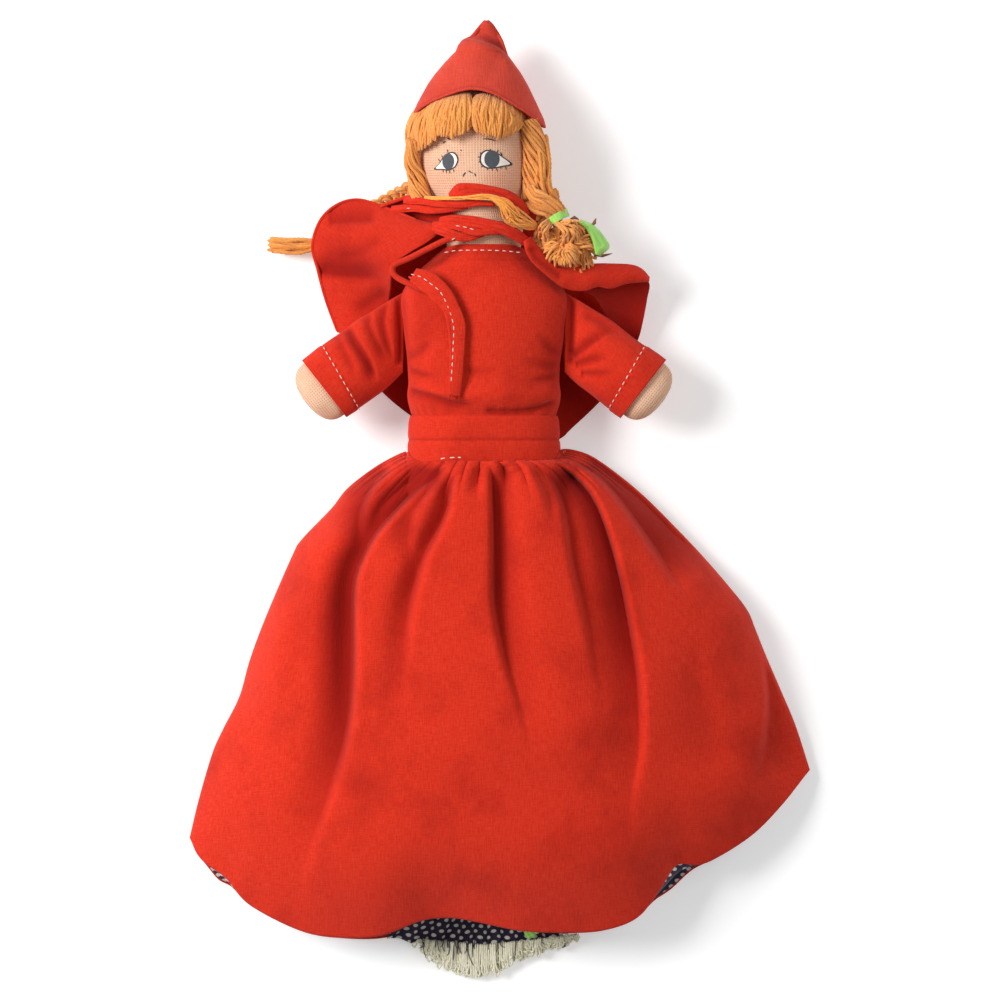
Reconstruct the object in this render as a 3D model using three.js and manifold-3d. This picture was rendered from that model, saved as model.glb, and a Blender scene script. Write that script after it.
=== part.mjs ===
// A topsy turvy doll lying on its back: a rag doll in red at one end, a second doll hidden under the skirt.
// Millimetres. +Z is up, away from the table, and +Y runs from the hidden doll's head to the red doll's head.
// Inside the group the waist seam is at y = 0; the group is moved so that the origin is the foot of its box.

import * as THREE from 'three';
import { mergeVertices } from 'three/addons/utils/BufferGeometryUtils.js';
import Module from 'manifold-3d';

const wasm = await Module();
wasm.setup();

// Place of the waist seam, from the middle of the doll's box
const waistX = -5.6;
const waistY = 15.6;

// Cloth and running gaps
const cloth = 1.2;
const gap = 0.3;
const spin = Math.PI * 2;
const formSides = 16;
const limbSides = 12;

// Torso and the height at which it lies
const bodyZ = 19.5;
const waistHalfWidth = 25.6;
const waistHalfDepth = 12.6;
const chestHalfWidth = 27.9;
const chestHalfDepth = 14.3;
const waistbandHeight = 14.5;
const shoulderHeight = 61;
const neckBaseHeight = 76;
const neckHalfWidth = 13.6;
const neckHalfDepth = 11.6;

// Heads
const headHalfWidth = 19.6;
const headHalfDepth = 14.6;
const headHeight = 61;
const headLean = 4;
const headRise = 1.5;
const hiddenHeadRise = 1.9;
const hairDepth = 3;

// Arms and sleeves
const shoulderX = 32.3;
const shoulderY = 45.9;
const armZ = 20;
const seamHalf = 14.6;
const seamDepth = 1.6;
const seamInset = 2.1;
const sleeveLength = 34;
const sleeveDepth = 8;
const cuffHalf = 13;
const cuffDepth = 7.4;
const sleeveCloth = 0.9;
const handReach = 8;
const armDrop = THREE.MathUtils.degToRad(38);
const hiddenArmRaise = THREE.MathUtils.degToRad(58);
const hiddenArmZ = 17.8;
const hiddenArmDroop = 6;

// Skirt
const skirtLength = 177;
const skirtTop = 0.6;
const skirtWaist = 29.6;
const skirtLeft = 106;
const skirtRight = 117.6;
const leftDropShare = 0.2;
const rightDropShare = 0.345;
const notch = 6;
const notchShare = 0.35;
const backLonger = 4;
const liningShorter = 0.4;
const waistCrown = 36;
const chestCrown = 40.2;
const headCrown = 44.6;
const hemCrown = 25;
const waistRound = 2.7;
const hemRound = 1.8;
const backRise = 2.2;
const backRiseShare = 0.16;
const foldSpread = 9;
const foldStep = 4;
const skirtAcross = 48;
const skirtAlong = 11;

// Cape
const capeTop = 84;
const capeHem = 6;
const capeHalfWidth = 62.5;
const capeAcross = 24;
const capeAlong = 10;
const lobeHeight = 15.5;
const lobeStart = 24;
const lobeReach = 14;
const lobeFoot = 35;
const lobeRun = 25;
const lobeStep = 8;
const napeRise = 5.3;
const napeHalf = 18;

// Cap
const capHalfWidth = 24.6;
const capHalfDepth = 19.6;
const capBrim = 127;
const capLength = 34;

// Hidden doll's cap: a crown gathered behind the head, then a frill with a lace edge
const crownHalfWidth = 25.4;
const crownHalfDepth = 17.5;
const crownStart = 118;
const crownEnd = 161;
const gatherHalfWidth = 11;
const gatherHalfDepth = 5;
const frillEnd = 183;
const frillHalf = 31;
const frillShift = 5;
const frillWaves = 5;
const frillDepth = 1.6;
const frillFloor = 3.3;
const laceWidth = 9;
const laceHalf = 28;

// Yarn bunches and plaits
const fringeHalf = 8.4;
const fringeDepth = 4.4;
const braidHalf = 6.4;
const plaitUnderCape = 4.4;
const plaitDrop = 40;
const leftPlaitDrop = 47.6;
const rightCrossings = 3.5;
const leftCrossings = 4.5;
const tasselHalf = 11;
const tasselDepth = 8;
const tasselLength = 17;
const leftEndLength = 18;
const leftEndHalf = 2.6;
const ribbonWide = 9;
const ribbonSmall = 4.6;
const ribbonNarrow = 1.8;
const ribbonDepth = 0.9;
const sideHairHalf = 4;

// Neck bindings and tie
const bindingHalf = 3;
const bindingDepth = 1;
const upperBindingUp = 21;
const upperBindingEnd = 20;
const lowerBindingUp = 12;
const lowerBindingEnd = 7;
const upperTurnShares = [-0.42, 0.36];
const lowerTurnShares = [-0.62, 0.62];
const tieWidth = 5.4;
const tieLength = 46;
const tieDepth = 0.7;

const red = '#c92a1c';
const muslin = '#d9a88a';
const yarn = '#d98a45';
const navy = '#2a2038';
const lace = '#dad6b8';
const green = '#8cc63f';

const doll = new THREE.Group();
doll.position.set(waistX, waistY, 0);

// One named piece with its own material
function add(name, geometry, colour, roughness = 0.9) {
  const material = new THREE.MeshStandardMaterial({ color: colour, roughness, metalness: 0 });
  const mesh = new THREE.Mesh(geometry, material);
  mesh.name = name;
  doll.add(mesh);
  return mesh;
}

// Signed volume of an indexed closed mesh, to tell which way its faces point
function volumeOf(geometry) {
  const place = geometry.getAttribute('position');
  const index = geometry.getIndex();
  const [a, b, c] = [new THREE.Vector3(), new THREE.Vector3(), new THREE.Vector3()];
  let sum = 0;
  for (let i = 0; i < index.count; i += 3) {
    a.fromBufferAttribute(place, index.getX(i));
    b.fromBufferAttribute(place, index.getX(i + 1));
    c.fromBufferAttribute(place, index.getX(i + 2));
    sum += a.dot(b.cross(c));
  }
  return sum;
}

// A closed body through rings of points; a looped one joins its last ring to its first, as a tube does.
// Both faces of a sheet or tube are split along the same diagonals, so that layers of cloth keep their gap.
function loft(rings, looped = false) {
  const sides = rings[0].length;
  const points = rings.flat().flatMap((p) => [p.x, p.y, p.z]);
  const faces = [];
  const quad = (a, b, c, d, turned = false) => {
    if (turned) faces.push(a, b, d, b, c, d);
    else faces.push(a, b, c, a, c, d);
  };
  const last = looped ? rings.length : rings.length - 1;
  for (let i = 0; i < last; i += 1) {
    const here = i * sides;
    const there = ((i + 1) % rings.length) * sides;
    for (let j = 0; j < sides; j += 1) {
      const k = (j + 1) % sides;
      const turned = looped ? i >= rings.length / 2 : j >= sides / 2;
      quad(here + j, here + k, there + k, there + j, turned);
    }
  }
  if (!looped) {
    const end = (rings.length - 1) * sides;
    for (let k = 0; k < sides / 2 - 1; k += 1) {
      const far = sides - 1 - k;
      quad(far, far - 1, k + 1, k);
      quad(end + k, end + k + 1, end + far - 1, end + far);
    }
  }
  const geometry = new THREE.BufferGeometry();
  geometry.setAttribute('position', new THREE.Float32BufferAttribute(points, 3));
  geometry.setIndex(faces);
  if (volumeOf(geometry) < 0) {
    const flipped = [];
    for (let i = 0; i < faces.length; i += 3) flipped.push(faces[i], faces[i + 2], faces[i + 1]);
    geometry.setIndex(flipped);
  }
  return geometry;
}

// The solid of a closed mesh, and the mesh of a solid
function solidOf(geometry) {
  const bare = geometry.clone();
  for (const name of Object.keys(bare.attributes)) if (name !== 'position') bare.deleteAttribute(name);
  const merged = mergeVertices(bare);
  const mesh = new wasm.Mesh({
    numProp: 3,
    vertProperties: new Float32Array(merged.getAttribute('position').array),
    triVerts: new Uint32Array(merged.getIndex().array),
  });
  return new wasm.Manifold(mesh);
}

function meshOf(solid) {
  const mesh = solid.getMesh();
  const geometry = new THREE.BufferGeometry();
  geometry.setAttribute('position', new THREE.BufferAttribute(mesh.vertProperties, 3));
  geometry.setIndex(new THREE.BufferAttribute(mesh.triVerts, 1));
  return geometry;
}

// A piece cut clear of its larger neighbours; crumbs that the cut leaves are dropped
function cutBy(geometry, ...others) {
  let solid = solidOf(geometry);
  for (const other of others) solid = solid.subtract(solidOf(other));
  const bodies = solid.decompose();
  return meshOf(bodies.reduce((best, body) => (body.volume() > best.volume() ? body : best)));
}

// A smooth run through rows of sizes, each row led by its place along the piece
function run(rows) {
  const places = rows.map((row) => row[0]);
  const curve = new THREE.CubicInterpolant(places, rows.flatMap((row) => row.slice(1)), rows[0].length - 1);
  return (at) => Array.from(curve.evaluate(at));
}

const steps = (count) => Array.from({ length: count + 1 }, (_, i) => i / count);
const blendOf = (a, b, t) => a + (b - a) * t;
const smooth = (t) => THREE.MathUtils.smoothstep(t, 0, 1);

// An oval ring square to the doll's long axis
function ovalRing(y, halfWidth, halfDepth, x, z, sides, square = 1) {
  return steps(sides).slice(0, sides).map((t) => {
    const a = t * spin;
    const [c, s] = [Math.cos(a), Math.sin(a)];
    return new THREE.Vector3(
      x + halfWidth * Math.sign(c) * Math.abs(c) ** square,
      y,
      z + halfDepth * Math.sign(s) * Math.abs(s) ** square,
    );
  });
}

// Rings of a stuffed form along the long axis; rows hold place, half width, half depth, x and z
function ovalRings(rows, count, sides, grow = 0, ends = [rows[0][0], rows.at(-1)[0]]) {
  const size = run(rows);
  return steps(count).map((t) => {
    const y = blendOf(ends[0], ends[1], t);
    const [w, d, x, z] = size(y);
    return ovalRing(y, w + grow, d + grow, x, z, sides);
  });
}

// Turns rings of the red end into rings of the hidden end
const hiddenEnd = (rings) => rings.map((ring) => ring.map((p) => new THREE.Vector3(p.x, -p.y, p.z)));

// Torso: one stuffed casing that serves both dolls
const halfTorso = [
  [0, waistHalfWidth, waistHalfDepth, 0, bodyZ],
  [waistbandHeight, waistHalfWidth, waistHalfDepth, 0, bodyZ],
  [shoulderHeight * 0.5, chestHalfWidth * 0.95, chestHalfDepth, 0, bodyZ],
  [shoulderHeight * 0.8, chestHalfWidth, chestHalfDepth, 0, bodyZ],
  [shoulderHeight, chestHalfWidth, chestHalfDepth * 0.95, 0, bodyZ],
  [neckBaseHeight * 0.92, blendOf(chestHalfWidth, neckHalfWidth, 0.5), neckHalfDepth, 0, bodyZ],
  [neckBaseHeight, neckHalfWidth, neckHalfDepth * 0.95, 0, bodyZ],
];
const halfTorsoRings = (grow) => ovalRings(halfTorso, 9, formSides, grow);
function wholeTorso(grow) {
  const half = halfTorsoRings(grow);
  return loft([...hiddenEnd(half).reverse(), ...half.slice(1)]);
}
add('double_ended_torso', wholeTorso(0), muslin);
const nearTorso = wholeTorso(gap);

// Bodices over the torso, and the waistbands below them
function garment(name, thick, ends, colour, turned) {
  const rings = ovalRings(halfTorso, 7, formSides, gap + thick, ends);
  add(name, cutBy(loft(turned(rings)), nearTorso), colour);
}
const asIs = (rings) => rings;
garment('red_bodice', cloth, [waistbandHeight + gap, neckBaseHeight - gap], red, asIs);
garment('hidden_bodice', cloth, [waistbandHeight + gap, neckBaseHeight - gap], navy, hiddenEnd);
garment('red_waistband', cloth * 1.5, [gap, waistbandHeight], red, asIs);
garment('hidden_waistband', cloth, [gap, waistbandHeight], navy, hiddenEnd);

// A head with its neck; lean moves it sideways and rise lifts it off the back of the torso
function headRows(lean, rise) {
  const foot = neckBaseHeight + gap;
  const along = (share) => foot + headHeight * share;
  return [
    [foot, neckHalfWidth, neckHalfDepth, 0, bodyZ + gap],
    [along(0.14), neckHalfWidth * 1.06, neckHalfDepth * 1.1, 0, bodyZ + rise * 0.3],
    [along(0.28), neckHalfWidth * 1.14, neckHalfDepth * 1.2, -lean * 0.4, bodyZ + rise * 0.6],
    [along(0.42), headHalfWidth * 0.94, headHalfDepth * 0.96, -lean * 0.85, bodyZ + rise],
    [along(0.58), headHalfWidth, headHalfDepth, -lean, bodyZ + rise],
    [along(0.76), headHalfWidth * 0.98, headHalfDepth, -lean, bodyZ + rise],
    [along(0.91), headHalfWidth * 0.76, headHalfDepth * 0.8, -lean, bodyZ + rise],
    [along(1), headHalfWidth * 0.3, headHalfDepth * 0.3, -lean, bodyZ + rise],
  ];
}
const redHead = headRows(headLean, headRise);
const hiddenHead = headRows(0, hiddenHeadRise);
const headRings = (rows, grow = 0) => ovalRings(rows, 9, formSides, grow);
add('red_head', loft(headRings(redHead)), muslin);
add('hidden_head', loft(hiddenEnd(headRings(hiddenHead))), muslin);
const nearRedHead = loft(headRings(redHead, gap));
const nearHiddenHead = loft(hiddenEnd(headRings(hiddenHead, gap)));

// Hair over the back of a head: the head's form grown by the yarn's depth, without its front
function hairRings(rows, clear) {
  const [foot, top] = [rows[3][0], rows.at(-1)[0]];
  return ovalRings(rows, 7, formSides, hairDepth + gap + clear, [foot - clear, top + clear]);
}
const hairWindow = new THREE.BoxGeometry(headHalfWidth * 4, headHeight * 6, headHalfDepth * 2);
hairWindow.translate(0, 0, bodyZ + headRise + headHalfDepth + gap);
const backHair = (clear) => cutBy(loft(hairRings(redHead, clear)), hairWindow);
add('red_back_hair', cutBy(backHair(0), nearRedHead), yarn);
add('hidden_back_hair', cutBy(loft(hiddenEnd(hairRings(hiddenHead, 0))), nearHiddenHead, hairWindow), yarn);

// A bunch of yarn or cloth along a curve; size gives its half width and half depth at a share of the way
function bunch(points, size, count, sides) {
  const curve = new THREE.CatmullRomCurve3(points);
  const up = new THREE.Vector3(0, 0, 1);
  return steps(count).map((t) => {
    const centre = curve.getPointAt(t);
    const ahead = curve.getTangentAt(t);
    const across = new THREE.Vector3().crossVectors(up, ahead).normalize();
    const lift = new THREE.Vector3().crossVectors(ahead, across);
    const [w, d] = size(t);
    return steps(sides).slice(0, sides).map((s) => {
      const a = s * spin;
      return centre.clone().addScaledVector(across, w * Math.cos(a)).addScaledVector(lift, d * Math.sin(a));
    });
  });
}
const at = (x, y, z) => new THREE.Vector3(x, y, z);
const roundEnds = (t, share) => Math.sqrt(Math.max(1 - Math.abs(2 * t - 1) ** share, 0.04));

// Cap: a pointed cone of cloth over the crown
const capTip = capBrim + capLength;
const capRows = [
  [capBrim, capHalfWidth, capHalfDepth, -headLean, bodyZ + headRise],
  [capBrim + capLength * 0.28, capHalfWidth * 0.84, capHalfDepth * 0.86, -headLean, bodyZ + headRise],
  [capBrim + capLength * 0.6, capHalfWidth * 0.5, capHalfDepth * 0.55, -headLean * 0.5, bodyZ + headRise],
  [capBrim + capLength * 0.85, capHalfWidth * 0.25, capHalfDepth * 0.28, 0, bodyZ + headRise * 0.5],
  [capTip, capHalfWidth * 0.06, capHalfDepth * 0.08, headLean * 0.4, bodyZ],
];
const capSolid = (grow) => loft(ovalRings(capRows, 7, formSides, grow));
const underCap = loft(hairRings(redHead, gap));
add('red_pointed_cap', cutBy(capSolid(0), underCap), red);

// Fringe: two bunches of yarn over the forehead, parted near the middle
const foreheadY = capBrim - fringeHalf * 0.25;
const foreheadZ = bodyZ + headRise + headHalfDepth * 0.98;
function fringe(name, from, to) {
  const path = [
    at(from, foreheadY + fringeHalf * 0.2, foreheadZ),
    at(blendOf(from, to, 0.5), foreheadY, foreheadZ - fringeDepth * 0.3),
    at(to, foreheadY - fringeHalf * 0.2, bodyZ + headRise + headHalfDepth * 0.5),
  ];
  const rings = bunch(path, (t) => [fringeHalf * roundEnds(t, 3), fringeDepth * roundEnds(t, 3)], 7, 8);
  add(name, cutBy(loft(rings), nearRedHead, capSolid(gap), backHair(gap)), yarn);
}
const parting = -headLean - gap;
fringe('red_fringe_left', parting - gap, -headLean - headHalfWidth * 0.98);
fringe('red_fringe_right', parting + gap, -headLean + headHalfWidth * 0.98);

// Hair down the sides of the face
function sideHair(side, grow) {
  const edge = -headLean + side * (headHalfWidth + sideHairHalf * 0.9);
  const z = bodyZ + headRise;
  const path = [
    at(edge - side * headHalfWidth * 0.1, foreheadY - fringeHalf * 1.5, z + sideHairHalf * 0.6),
    at(edge, foreheadY - fringeHalf * 2.4, z),
    at(edge - side * sideHairHalf * 0.4, foreheadY - fringeHalf * 3.4, z - headRise * 0.5),
  ];
  const half = (t) => sideHairHalf * roundEnds(t, 4) + grow;
  return loft(bunch(path, (t) => [half(t), half(t)], 6, 8));
}
add('red_side_hair_left', cutBy(sideHair(-1, 0), nearRedHead, backHair(gap)), yarn);
add('red_side_hair_right', cutBy(sideHair(1, 0), nearRedHead, backHair(gap)), yarn);

// Plaits: thick bunches with a slight swell at each crossing, tied above a loose end of yarn
function plait(path, half, crossings) {
  const swell = (t) => half * (0.9 + 0.1 * Math.cos(t * crossings * spin)) * roundEnds(t, 8);
  return loft(bunch(path, (t) => [swell(t), swell(t) * 0.9], 14, 8));
}

// A ribbon bow whose middle ties the plait; grow swells it, to cut the yarn that it ties
function bow(knot, ahead, half, grow) {
  const across = new THREE.Vector3(-ahead.y, ahead.x, 0).normalize();
  const loop = half * 0.55;
  const end = (share) => knot.clone().addScaledVector(across, (half + grow) * share);
  const wing = (t) => ribbonNarrow + (loop - ribbonNarrow) * Math.abs(2 * t - 1) ** 0.8;
  const size = (t) => [wing(t) * roundEnds(t, 8) + grow, ribbonDepth + grow];
  return loft(bunch([end(-1), end(0), end(1)], size, 10, 8));
}

// Loose yarn beyond a bow: a full tassel at the right, a thin straight bunch at the left
function yarnEnd(knot, ahead, length, half, depth) {
  const path = [0, 0.5, 1].map((t) => knot.clone().addScaledVector(ahead, length * t));
  return loft(bunch(path, (t) => [half * roundEnds(t, 3), depth * roundEnds(t, 3)], 8, 10));
}

// A plait's path down from the side of the head; rows hold shares of its drop: outward, down and up
function plaitPath(side, drop, shares) {
  return shares.map(([out, down, up]) => {
    const x = side * (headHalfWidth + out * drop);
    return at(x, capBrim - down * drop, bodyZ + up * drop);
  });
}
const rightPlaitShares = [[0.035, 0.3, 0.175], [0.115, 0.55, 0.21], [0.16, 0.775, 0.225], [0.225, 1, 0.225]];
const rightPlait = plaitPath(1, plaitDrop, rightPlaitShares);
const rightAhead = at(0.3, -1, 0).normalize();
const rightKnot = rightPlait.at(-1);
const rightEnd = rightKnot.clone().addScaledVector(rightAhead, gap);
const rightBow = (grow) => bow(rightKnot, rightAhead, ribbonWide, grow);
const rightPlaitShape = plait(rightPlait, braidHalf, rightCrossings);
const rightTassel = yarnEnd(rightEnd, rightAhead, tasselLength, tasselHalf, tasselDepth);
const nearRightPlait = [nearRedHead, backHair(gap), capSolid(gap), sideHair(1, gap), rightBow(gap)];
add('red_plait_right', cutBy(rightPlaitShape, ...nearRightPlait), yarn);
add('red_tassel_right', cutBy(rightTassel, rightBow(gap), rightPlaitShape), yarn);
add('red_ribbon_right', rightBow(0), green, 0.45);

const leftPlaitShares = [
  [0.111, 0.504, -0.084], [0.235, 0.651, -0.231], [0.378, 0.756, -0.298],
  [0.609, 0.882, -0.307], [0.84, 1, -0.307],
];
const leftPlait = plaitPath(-1, leftPlaitDrop, leftPlaitShares);
const leftAhead = at(-1, -0.05, 0).normalize();
const leftKnot = leftPlait.at(-1);
const leftEnd = leftKnot.clone().addScaledVector(leftAhead, gap);
const leftBow = (grow) => bow(leftKnot, leftAhead, ribbonSmall, grow);
const leftPlaitShape = plait(leftPlait, plaitUnderCape, leftCrossings);
const leftTassel = yarnEnd(leftEnd, leftAhead, leftEndLength, leftEndHalf, leftEndHalf);
add('red_plait_left', cutBy(leftPlaitShape, backHair(gap), sideHair(-1, gap), leftBow(gap)), yarn);
add('red_tassel_left', cutBy(leftTassel, leftBow(gap), leftPlaitShape), yarn);
add('red_ribbon_left', leftBow(0), green, 0.45);

// Rings of an arm or its sleeve, from the shoulder seam to past the cuff; side is -1 or 1
function limbRings(side, turn, z, droop, grow, shares) {
  const ahead = at(side * Math.cos(turn), -Math.sin(turn), 0);
  const mid = at(side * shoulderX, shoulderY, z);
  const root = at(side * (shoulderX - seamInset), shoulderY, z);
  const cuff = mid.clone().addScaledVector(ahead, sleeveLength).setZ(z - droop);
  const size = run([
    [0, seamHalf, seamDepth],
    [0.2, blendOf(seamHalf, cuffHalf, 0.2), sleeveDepth * 0.52],
    [0.4, blendOf(seamHalf, cuffHalf, 0.4), sleeveDepth * 0.8],
    [0.7, blendOf(seamHalf, cuffHalf, 0.7), sleeveDepth],
    [1, cuffHalf, cuffDepth],
  ]);
  return shares.map((t) => {
    const along = Math.min(t, 1);
    const past = t - along;
    const centre = root.clone().lerp(cuff, along).addScaledVector(ahead, past * sleeveLength);
    const lean = along * turn;
    const across = at(side * Math.sin(lean), Math.cos(lean), 0);
    const [w, d] = size(along);
    const round = Math.sqrt(1 - (past * sleeveLength / handReach) ** 2);
    return steps(limbSides).slice(0, limbSides).map((s) => {
      const a = s * spin;
      return centre.clone()
        .addScaledVector(across, (w + grow) * round * Math.cos(a))
        .add(at(0, 0, (d + grow) * round * Math.sin(a)));
    });
  });
}

// Arms with their sleeves, the same for both dolls
function arm(doll, side, place, turn, z, droop, colour, turned) {
  const shares = steps(6);
  const outer = limbRings(side, turn, z, droop, 0, shares);
  const inner = limbRings(side, turn, z, droop, -sleeveCloth, shares);
  const handShares = [0.35, 0.65, 0.85, 0.97].map((share) => 1 + share * handReach / sleeveLength);
  const armShares = [...shares.slice(1), ...handShares];
  const filling = limbRings(side, turn, z, droop, -sleeveCloth - gap * 2, armShares);
  add(`${doll}_sleeve_${place}`, loft(turned([...outer, ...inner.reverse()]), true), colour);
  add(`${doll}_arm_${place}`, loft(turned(filling)), muslin);
}
arm('red', -1, 'left', armDrop, armZ, 0, red, asIs);
arm('red', 1, 'right', armDrop, armZ, 0, red, asIs);
arm('hidden', -1, 'left', -hiddenArmRaise, hiddenArmZ, hiddenArmDroop, navy, hiddenEnd);
arm('hidden', 1, 'right', -hiddenArmRaise, hiddenArmZ, hiddenArmDroop, navy, hiddenEnd);

// A sheet of cloth: surface gives its upper and under face at shares u and v of its width and length
function sheet(across, along, surface) {
  const rows = steps(along);
  return loft(steps(across).map((u) => [
    ...rows.map((v) => surface(u, v, true)),
    ...rows.slice().reverse().map((v) => surface(u, v, false)),
  ]));
}

// How far each side of the skirt has spread, by share of its length
const leftFlareShares = run([
  [0, 0], [0.03, 0.13], [0.085, 0.26], [0.14, 0.335], [0.22, 0.475],
  [0.42, 0.64], [0.63, 0.77], [0.8, 0.895], [1, 1],
]);
const rightFlareShares = run([
  [0, 0], [0.01, 0.115], [0.065, 0.225], [0.14, 0.335], [0.315, 0.556],
  [0.49, 0.72], [0.64, 0.82], [0.8, 0.91], [1, 1],
]);
function skirtHalf(s, v) {
  const [reach, flare] = s < 0 ? [skirtLeft, leftFlareShares] : [skirtRight, rightFlareShares];
  return skirtWaist + (reach - skirtWaist) * flare(v)[0];
}

// Skirt: place on the spread cloth at share v of its length and side s, from -1 to 1 across
function skirtPlace(s, v, grow, longer) {
  const drop = s < 0 ? leftDropShare : rightDropShare;
  const half = skirtHalf(s, v) + grow;
  const dip = notch * Math.max(1 - (s / notchShare) ** 2, 0) ** 2;
  const length = (skirtLength + longer) * (1 - drop * Math.abs(s) ** 3) - dip;
  return [s * half, -skirtTop - v * length];
}
const nearWaist = (v) => backRise * Math.max(1 - v / backRiseShare, 0) ** 2;
const rimZ = cloth * 2 + gap * 2;
const crown = run([
  [0, waistCrown],
  [0.3, chestCrown],
  [0.66, headCrown],
  [0.86, headCrown * 0.9],
  [1, hemCrown],
]);

// Main folds that fan out from the waist: the width of the left and right wall of each valley, then its
// side and depth at shares of the length
const skirtFolds = [
  [foldSpread, foldStep,
    [0.03, -0.45, 0], [0.12, -0.62, 4.5], [0.22, -0.68, 5.5], [0.41, -0.62, 6],
    [0.6, -0.58, 5], [0.8, -0.67, 4], [1, -0.7, 2]],
  [foldSpread / 2, foldStep / 1.6,
    [0.03, -0.86, 0], [0.09, -0.86, 2.5], [0.18, -0.78, 1.5], [0.3, -0.78, 0]],
  [foldSpread / 2, foldStep / 1.6,
    [0.03, -0.2, 0], [0.1, -0.25, 2.6], [0.35, -0.38, 2.4], [0.5, -0.38, 0]],
  [foldStep / 1.6, foldSpread,
    [0.03, 0.05, 0], [0.1, 0.06, 2.2], [0.29, 0.05, 4], [0.43, 0.1, 2.5], [0.55, 0.16, 0]],
  [foldStep, foldSpread,
    [0.03, 0.54, 0], [0.08, 0.54, 1.6], [0.22, 0.47, 2], [0.36, 0.46, 2], [0.5, 0.45, 0]],
  [foldSpread, foldStep,
    [0.03, 0.74, 0], [0.12, 0.73, 4.5], [0.28, 0.66, 6], [0.47, 0.59, 5.5],
    [0.6, 0.55, 4], [0.82, 0.47, 3], [1, 0.47, 3]],
  [foldStep, foldSpread,
    [0.03, 0.9, 0], [0.09, 0.9, 3], [0.24, 0.88, 3.4], [0.42, 0.9, 0]],
  [foldSpread, foldSpread,
    [0.74, -0.1, 0], [0.88, -0.1, 3], [1, -0.1, 3]],
].map(([left, right, ...rows]) => ({ left, right, line: run(rows) }));
function foldDepth(s, v) {
  const depths = skirtFolds.map(({ left, right, line }) => {
    const [side, deep] = line(v);
    const away = (s - side) * skirtHalf(s, v);
    return deep * Math.exp(-((away / (away < 0 ? left : right)) ** 2));
  });
  return depths.reduce((sum, depth) => sum + depth, 0);
}

// Front of the skirt, arched over the hidden doll, without its folds
function skirtArch(u, v) {
  const down = v ** 1.5;
  const a = (u - 0.5) * Math.PI;
  const round = 2 / blendOf(waistRound, hemRound, down);
  const s = Math.sign(a) * Math.abs(Math.sin(a)) ** round;
  const [x, y] = skirtPlace(s, down, 0, 0);
  const up = Math.abs(Math.cos(a)) ** round;
  const low = rimZ + nearWaist(down);
  const rise = up * (crown(down)[0] - low);
  return { point: at(x, y, low + rise), fold: Math.min(up * foldDepth(s, down), rise / 2) };
}

// A face of the arch: its points moved out square to the cloth, lowered by the folds and kept above the rim
function skirtFront(inside, outside) {
  const small = 0.01;
  return (u, v, upper) => {
    const { point, fold } = skirtArch(u, v);
    const [u0, u1] = [Math.max(u - small, 0), Math.min(u + small, 1)];
    const [v0, v1] = [Math.max(v - small, 0), Math.min(v + small, 1)];
    const across = skirtArch(u1, v).point.sub(skirtArch(u0, v).point);
    const ahead = skirtArch(u, v0).point.sub(skirtArch(u, v1).point);
    const out = across.cross(ahead).normalize();
    const low = point.z;
    point.addScaledVector(out, upper ? outside : inside);
    if (u === 0 || u === 1) point.setZ(low);
    if (point.y > 0) point.setY(0);
    return point.setZ(point.z - fold);
  };
}
add('skirt_front', sheet(skirtAcross, skirtAlong, skirtFront(cloth + gap, cloth * 2 + gap)), red);
add('skirt_lining_front', sheet(skirtAcross, skirtAlong, skirtFront(0, cloth)), navy);

// Back of the skirt, flat on the table
function skirtBack(bottom, longer) {
  return (u, v, upper) => {
    const down = v ** 1.5;
    const [x, y] = skirtPlace(2 * u - 1, down, cloth * 2 + gap, longer);
    return at(x, y, bottom + nearWaist(down) + (upper ? cloth : 0));
  };
}
const backAcross = skirtAcross / 4;
const backLining = skirtBack(cloth + gap, backLonger - liningShorter);
add('skirt_back', sheet(backAcross, skirtAlong, skirtBack(0, backLonger)), red);
add('skirt_lining_back', sheet(backAcross, skirtAlong, backLining), navy);

// Cape: flat under the back, its two front corners spread out beside the neck as raised lobes
const capeReachShares = run([
  [0, 0.896, 0.896], [0.12, 1, 0.96], [0.3, 0.968, 0.968], [0.5, 0.848, 0.912],
  [0.65, 0.688, 0.832], [0.8, 0.56, 0.704], [0.92, 0.44, 0.544], [1, 0.288, 0.384],
]);
const capeTopShares = run([
  [-1, -0.02], [-0.8, 0.13], [-0.6, 0.13], [-0.4, 0.05], [-0.2, -0.06],
  [0, -0.07], [0.25, -0.07], [0.5, -0.2], [0.8, -0.23], [1, -0.25],
]);
function cape(u, v, upper) {
  const side = 2 * u - 1;
  const [left, right] = capeReachShares(v);
  const x = side * capeHalfWidth * (side < 0 ? left : right);
  const y = blendOf(capeTop * (1 + capeTopShares(side)[0]), capeHem, v);
  const start = lobeStart - lobeStep * smooth((y - neckBaseHeight + lobeStep) / lobeReach);
  const lift = lobeHeight * smooth((Math.abs(x) - start) / lobeReach) * smooth((y - lobeFoot) / lobeRun);
  const nape = napeRise * smooth((y - shoulderHeight) / (neckBaseHeight - shoulderHeight));
  const near = smooth((napeHalf - Math.abs(x)) / napeHalf * 2);
  return at(x, y, Math.max(lift, nape * near) + (upper ? cloth : 0));
}
add('cape', sheet(capeAcross, capeAlong, cape), red);

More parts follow.
